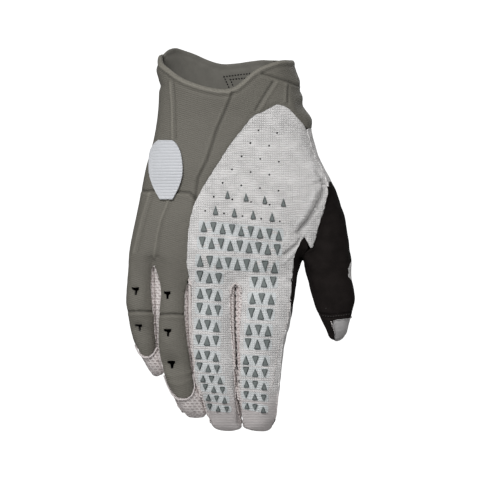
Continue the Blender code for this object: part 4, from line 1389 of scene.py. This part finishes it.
class GLOVE_OT_film(GloveOperator):
    """Thin film under each row of pads."""

    bl_idname = "glove.film"
    bl_label = "Film"

    def execute(self, context):
        tree = surface(bpy.data.objects["knit_panel_cloth"])
        bm = bmesh.new()
        for across, down, step_across, step_down, count, turn, width, height, film in PAD_ROWS:
            if not film:
                continue
            last_across = across + (count - 1) * step_across
            last_down = down + (count - 1) * step_down
            left = across - FILM_MARGIN
            right = last_across + FILM_MARGIN
            tall = FILM_SHARE * height
            corners = []
            for a, b in ((left, down + tall), (right, last_down + tall), (right, last_down - tall),
                         (left, down - tall)):
                x, z = place(a, b)
                corners.append(bm.verts.new((x, -sizes().film_height, z)))
            bm.faces.new(corners)
        bmesh.ops.bevel(bm, geom=list(bm.verts), offset=1.6 * MM, offset_type="OFFSET", segments=3,
                        profile=0.5, affect="VERTICES", material=-1)
        bmesh.ops.triangulate(bm, faces=bm.faces)
        bmesh.ops.subdivide_edges(bm, edges=bm.edges, cuts=5, use_grid_fill=True)
        lay_on(bm, tree)
        thing = new_piece(bm, "pad_film_rows", ("film",))
        lay_pattern(thing.data)
        return {"FINISHED"}


def spaced(places, spacing):
    """Places at even spacing along a line of picture places, with the way it runs."""
    left = 0.0
    for a, b in zip(places[:-1], places[1:]):
        length = math.hypot(b[0] - a[0], b[1] - a[1])
        angle = math.atan2(a[1] - b[1], b[0] - a[0])
        at = left
        while at < length:
            share = at / length
            yield a[0] + (b[0] - a[0]) * share, a[1] + (b[1] - a[1]) * share, angle
            at += spacing
        left = at - length


class GLOVE_OT_stitches(GloveOperator):
    """Sewing threads along seams and hems."""

    bl_idname = "glove.stitches"
    bl_label = "Stitches"

    def execute(self, context):
        kinds = {}
        trees = {}
        for panel, places, spacing, length, tilt, name in STITCHES:
            if panel not in trees:
                trees[panel] = surface(bpy.data.objects[panel + "_cloth"])
            thread = sizes().thread * THICKER_THREADS.get(name, 1.0)
            bm = kinds.setdefault(name, bmesh.new())
            for across, down, angle in spaced(places, spacing):
                x, z = place(across, down)
                spot, normal = on_front(trees[panel], x, z)
                turn = angle + math.radians(tilt)
                way = Vector((math.cos(turn), 0.0, math.sin(turn)))
                way = (way - normal * way.dot(normal)).normalized()
                third = normal.cross(way)
                axes = Matrix((way, third, normal)).transposed().to_4x4()
                half = 0.5 * length * PIXEL
                shape = Matrix.Diagonal((half, thread, thread, 1.0))
                where = Matrix.Translation(spot + normal * (0.9 if name == "rope" else 0.4) * thread)
                bmesh.ops.create_icosphere(bm, subdivisions=2, radius=1.0, matrix=where @ axes @ shape)
        for name, bm in kinds.items():
            new_piece(bm, "stitches_" + name, (name,))
        return {"FINISHED"}


class GLOVE_OT_piping(GloveOperator):
    """Light piping round the ends of the grey finger backs."""

    bl_idname = "glove.piping"
    bl_label = "Piping"

    def execute(self, context):
        bm = bmesh.new()
        for panel, left, right, top in PIPING:
            segments = []
            for a, b in shell(panel)[1]:
                spot = (a + b) * 0.5
                across, down = picture_places(np.array([spot[:]]))[0]
                if left < across < right and down > top and spot.y < 0.014:
                    segments.append((a, b))
            spots = chained(segments)
            tube(bm, [spot + Vector((0.0, -0.1 * MM, -0.45 * MM)) for spot in spots], sizes().piping)
        new_piece(bm, "finger_piping", ("piping_cloth",))
        return {"FINISHED"}


def chained(segments):
    """The longest run of places that the segments make, evenly smoothed."""
    links = {}
    keep = {}
    for a, b in segments:
        keys = [tuple(round(c / MERGE) for c in spot) for spot in (a, b)]
        for key, other, spot in ((keys[0], keys[1], a), (keys[1], keys[0], b)):
            links.setdefault(key, set()).add(other)
            keep[key] = spot
    ends = [key for key in links if len(links[key]) == 1] or list(links)[:1]
    best = []
    for end in ends:
        run = [end]
        while True:
            ahead = [key for key in links[run[-1]] if key not in run]
            if not ahead:
                break
            run.append(ahead[0])
        if len(run) > len(best):
            best = run
    spots = [keep[key].copy() for key in best]
    for turn in range(3):
        fine = [spots[0]]
        for a, b in zip(spots[:-1], spots[1:]):
            fine += [a.lerp(b, 0.25), a.lerp(b, 0.75)]
        spots = fine + [spots[-1]]
    return spots


def tube(bm, spots, radius, sides=8):
    """A round tube along spots, closed at both ends."""
    rings = []
    for number, spot in enumerate(spots):
        ahead = spots[min(number + 1, len(spots) - 1)]
        behind = spots[max(number - 1, 0)]
        way = (ahead - behind).normalized()
        turn = way.to_track_quat("Z", "Y").to_matrix().to_4x4()
        size = radius * (0.55 if number in (0, len(spots) - 1) else 1.0)
        made = bmesh.ops.create_circle(bm, cap_ends=False, segments=sides, radius=size,
                                       matrix=Matrix.Translation(spot) @ turn)
        rings.append(made["verts"])
    for first, second in zip(rings[:-1], rings[1:]):
        edges = []
        for ring in (first, second):
            group_verts = set(ring)
            edges += [e for v in ring for e in v.link_edges if e.other_vert(v) in group_verts]
        bmesh.ops.bridge_loops(bm, edges=list(set(edges)))
    for ring in (rings[0], rings[-1]):
        bmesh.ops.contextual_create(bm, geom=ring)
    bmesh.ops.recalc_face_normals(bm, faces=bm.faces)


def lay_floor(setup):
    """Pale floor and backdrop, one sheet with a wide bend, that the camera sees as plain white."""
    bm = bmesh.new()
    first = bm.verts.new((-FLOOR_HALF, -FLOOR_HALF, setup.floor))
    second = bm.verts.new((FLOOR_HALF, -FLOOR_HALF, setup.floor))
    edge = bm.edges.new((first, second))
    for vec in ((0.0, 2 * FLOOR_HALF, 0.0), (0.0, 0.0, BACKDROP_HEIGHT)):
        grown = bmesh.ops.extrude_edge_only(bm, edges=[edge])
        verts = [v for v in grown["geom"] if isinstance(v, bmesh.types.BMVert)]
        edge = next(e for e in bm.edges if set(e.verts) == set(verts))
        bmesh.ops.translate(bm, verts=verts, vec=vec)
    fold = [e for e in bm.edges if len(e.link_faces) == 2]
    bmesh.ops.bevel(bm, geom=fold, offset=FLOOR_BEND, offset_type="OFFSET", segments=24, profile=0.5,
                    affect="EDGES", material=-1)
    bmesh.ops.recalc_face_normals(bm, faces=bm.faces)
    mesh = bpy.data.meshes.new("floor")
    for face in bm.faces:
        face.smooth = True
    bm.to_mesh(mesh)
    bm.free()
    floor = bpy.data.objects.new("floor", mesh)
    bpy.context.scene.collection.objects.link(floor)
    paper = plain_material("pale_floor", (0.5, 0.5, 0.5), 0.9, 0.15)
    shader = paper.node_tree.nodes["Principled BSDF"]
    seen = paper.node_tree.nodes.new("ShaderNodeLightPath").outputs["Is Camera Ray"]
    shader.inputs["Emission Color"].default_value = (1, 1, 1, 1)
    paper.node_tree.links.new(seen, shader.inputs["Emission Strength"])
    mesh.materials.append(paper)


def aim_camera(setup):
    """Camera square to the back of the hand, at the picture's middle."""
    centre_x, centre_z = place(*PICTURE_MIDDLE)
    camera = bpy.data.cameras.new("camera")
    camera.sensor_width = SENSOR
    camera.lens = SENSOR * setup.distance / setup.view
    camera.clip_end = 50.0
    eye = bpy.data.objects.new("camera", camera)
    eye.location = (centre_x, -setup.distance, centre_z)
    eye.rotation_euler = (math.radians(90), 0.0, 0.0)
    bpy.context.scene.collection.objects.link(eye)
    bpy.context.scene.camera = eye


def hang_lights(setup):
    """Three soft lights aimed at the glove, and an even white light all round."""
    scene = bpy.context.scene
    lights = (
        ("key", setup.key, 0.8, (-0.60, -1.75, 0.95)),
        ("fill", setup.fill, 1.2, (1.3, -1.2, 0.1)),
        ("back", setup.fill * 3.0, 1.0, (0.9, 1.5, 0.7)),
    )
    for name, power, size, spot in lights:
        light = bpy.data.lights.new(name, "AREA")
        light.energy = power
        light.shape = "SQUARE"
        light.size = size
        lamp = bpy.data.objects.new(name, light)
        lamp.location = spot
        ahead = Vector((0.0, 0.0, -0.1)) - Vector(spot)
        lamp.rotation_euler = ahead.to_track_quat("-Z", "Y").to_euler()
        scene.collection.objects.link(lamp)
    world = bpy.data.worlds.new("studio")
    world.use_nodes = True
    world.node_tree.nodes["Background"].inputs["Color"].default_value = (1.0, 1.0, 1.0, 1.0)
    world.node_tree.nodes["Background"].inputs["Strength"].default_value = setup.world
    scene.world = world
    scene.view_settings.view_transform = "Standard"


class GLOVE_OT_stage(GloveOperator):
    """Pale floor and backdrop in one, camera and soft lights."""

    bl_idname = "glove.stage"
    bl_label = "Stage"

    def execute(self, context):
        setup = context.scene.glove_stage
        lay_floor(setup)
        aim_camera(setup)
        hang_lights(setup)
        return {"FINISHED"}


OPERATORS = (
    GLOVE_OT_back, GLOVE_OT_knit, GLOVE_OT_leather, GLOVE_OT_cuff, GLOVE_OT_gussets, GLOVE_OT_plate,
    GLOVE_OT_film, GLOVE_OT_pads, GLOVE_OT_stitches, GLOVE_OT_piping, GLOVE_OT_stage,
)


class GLOVE_PT_panel(bpy.types.Panel):
    """The glove's pieces and their sizes and colours."""

    bl_idname = "GLOVE_PT_panel"
    bl_label = "Glove"
    bl_space_type = "VIEW_3D"
    bl_region_type = "UI"
    bl_category = "Glove"

    def draw(self, context):
        layout = self.layout
        for operator in OPERATORS:
            layout.operator(operator.bl_idname)
        for holder in (context.scene.glove_sizes, context.scene.glove_colours, context.scene.glove_stage):
            box = layout.box()
            for key in holder.bl_rna.properties.keys():
                if key not in ("rna_type", "name"):
                    box.prop(holder, key)


CLASSES = (GLOVE_PG_sizes, GLOVE_PG_colours, GLOVE_PG_stage, *OPERATORS, GLOVE_PT_panel)


def register():
    for item in CLASSES:
        bpy.utils.register_class(item)
    bpy.types.Scene.glove_sizes = PointerProperty(type=GLOVE_PG_sizes)
    bpy.types.Scene.glove_colours = PointerProperty(type=GLOVE_PG_colours)
    bpy.types.Scene.glove_stage = PointerProperty(type=GLOVE_PG_stage)


def unregister():
    del bpy.types.Scene.glove_stage
    del bpy.types.Scene.glove_colours
    del bpy.types.Scene.glove_sizes
    for item in reversed(CLASSES):
        bpy.utils.unregister_class(item)


def main():
    register()
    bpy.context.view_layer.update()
    bpy.ops.glove.back()
    bpy.ops.glove.knit()
    bpy.ops.glove.leather()
    bpy.ops.glove.cuff()
    bpy.ops.glove.gussets()
    bpy.ops.glove.plate()
    bpy.ops.glove.film()
    bpy.ops.glove.pads()
    bpy.ops.glove.stitches()
    bpy.ops.glove.piping()
    bpy.ops.glove.stage()


if __name__ == "__main__":
    main()
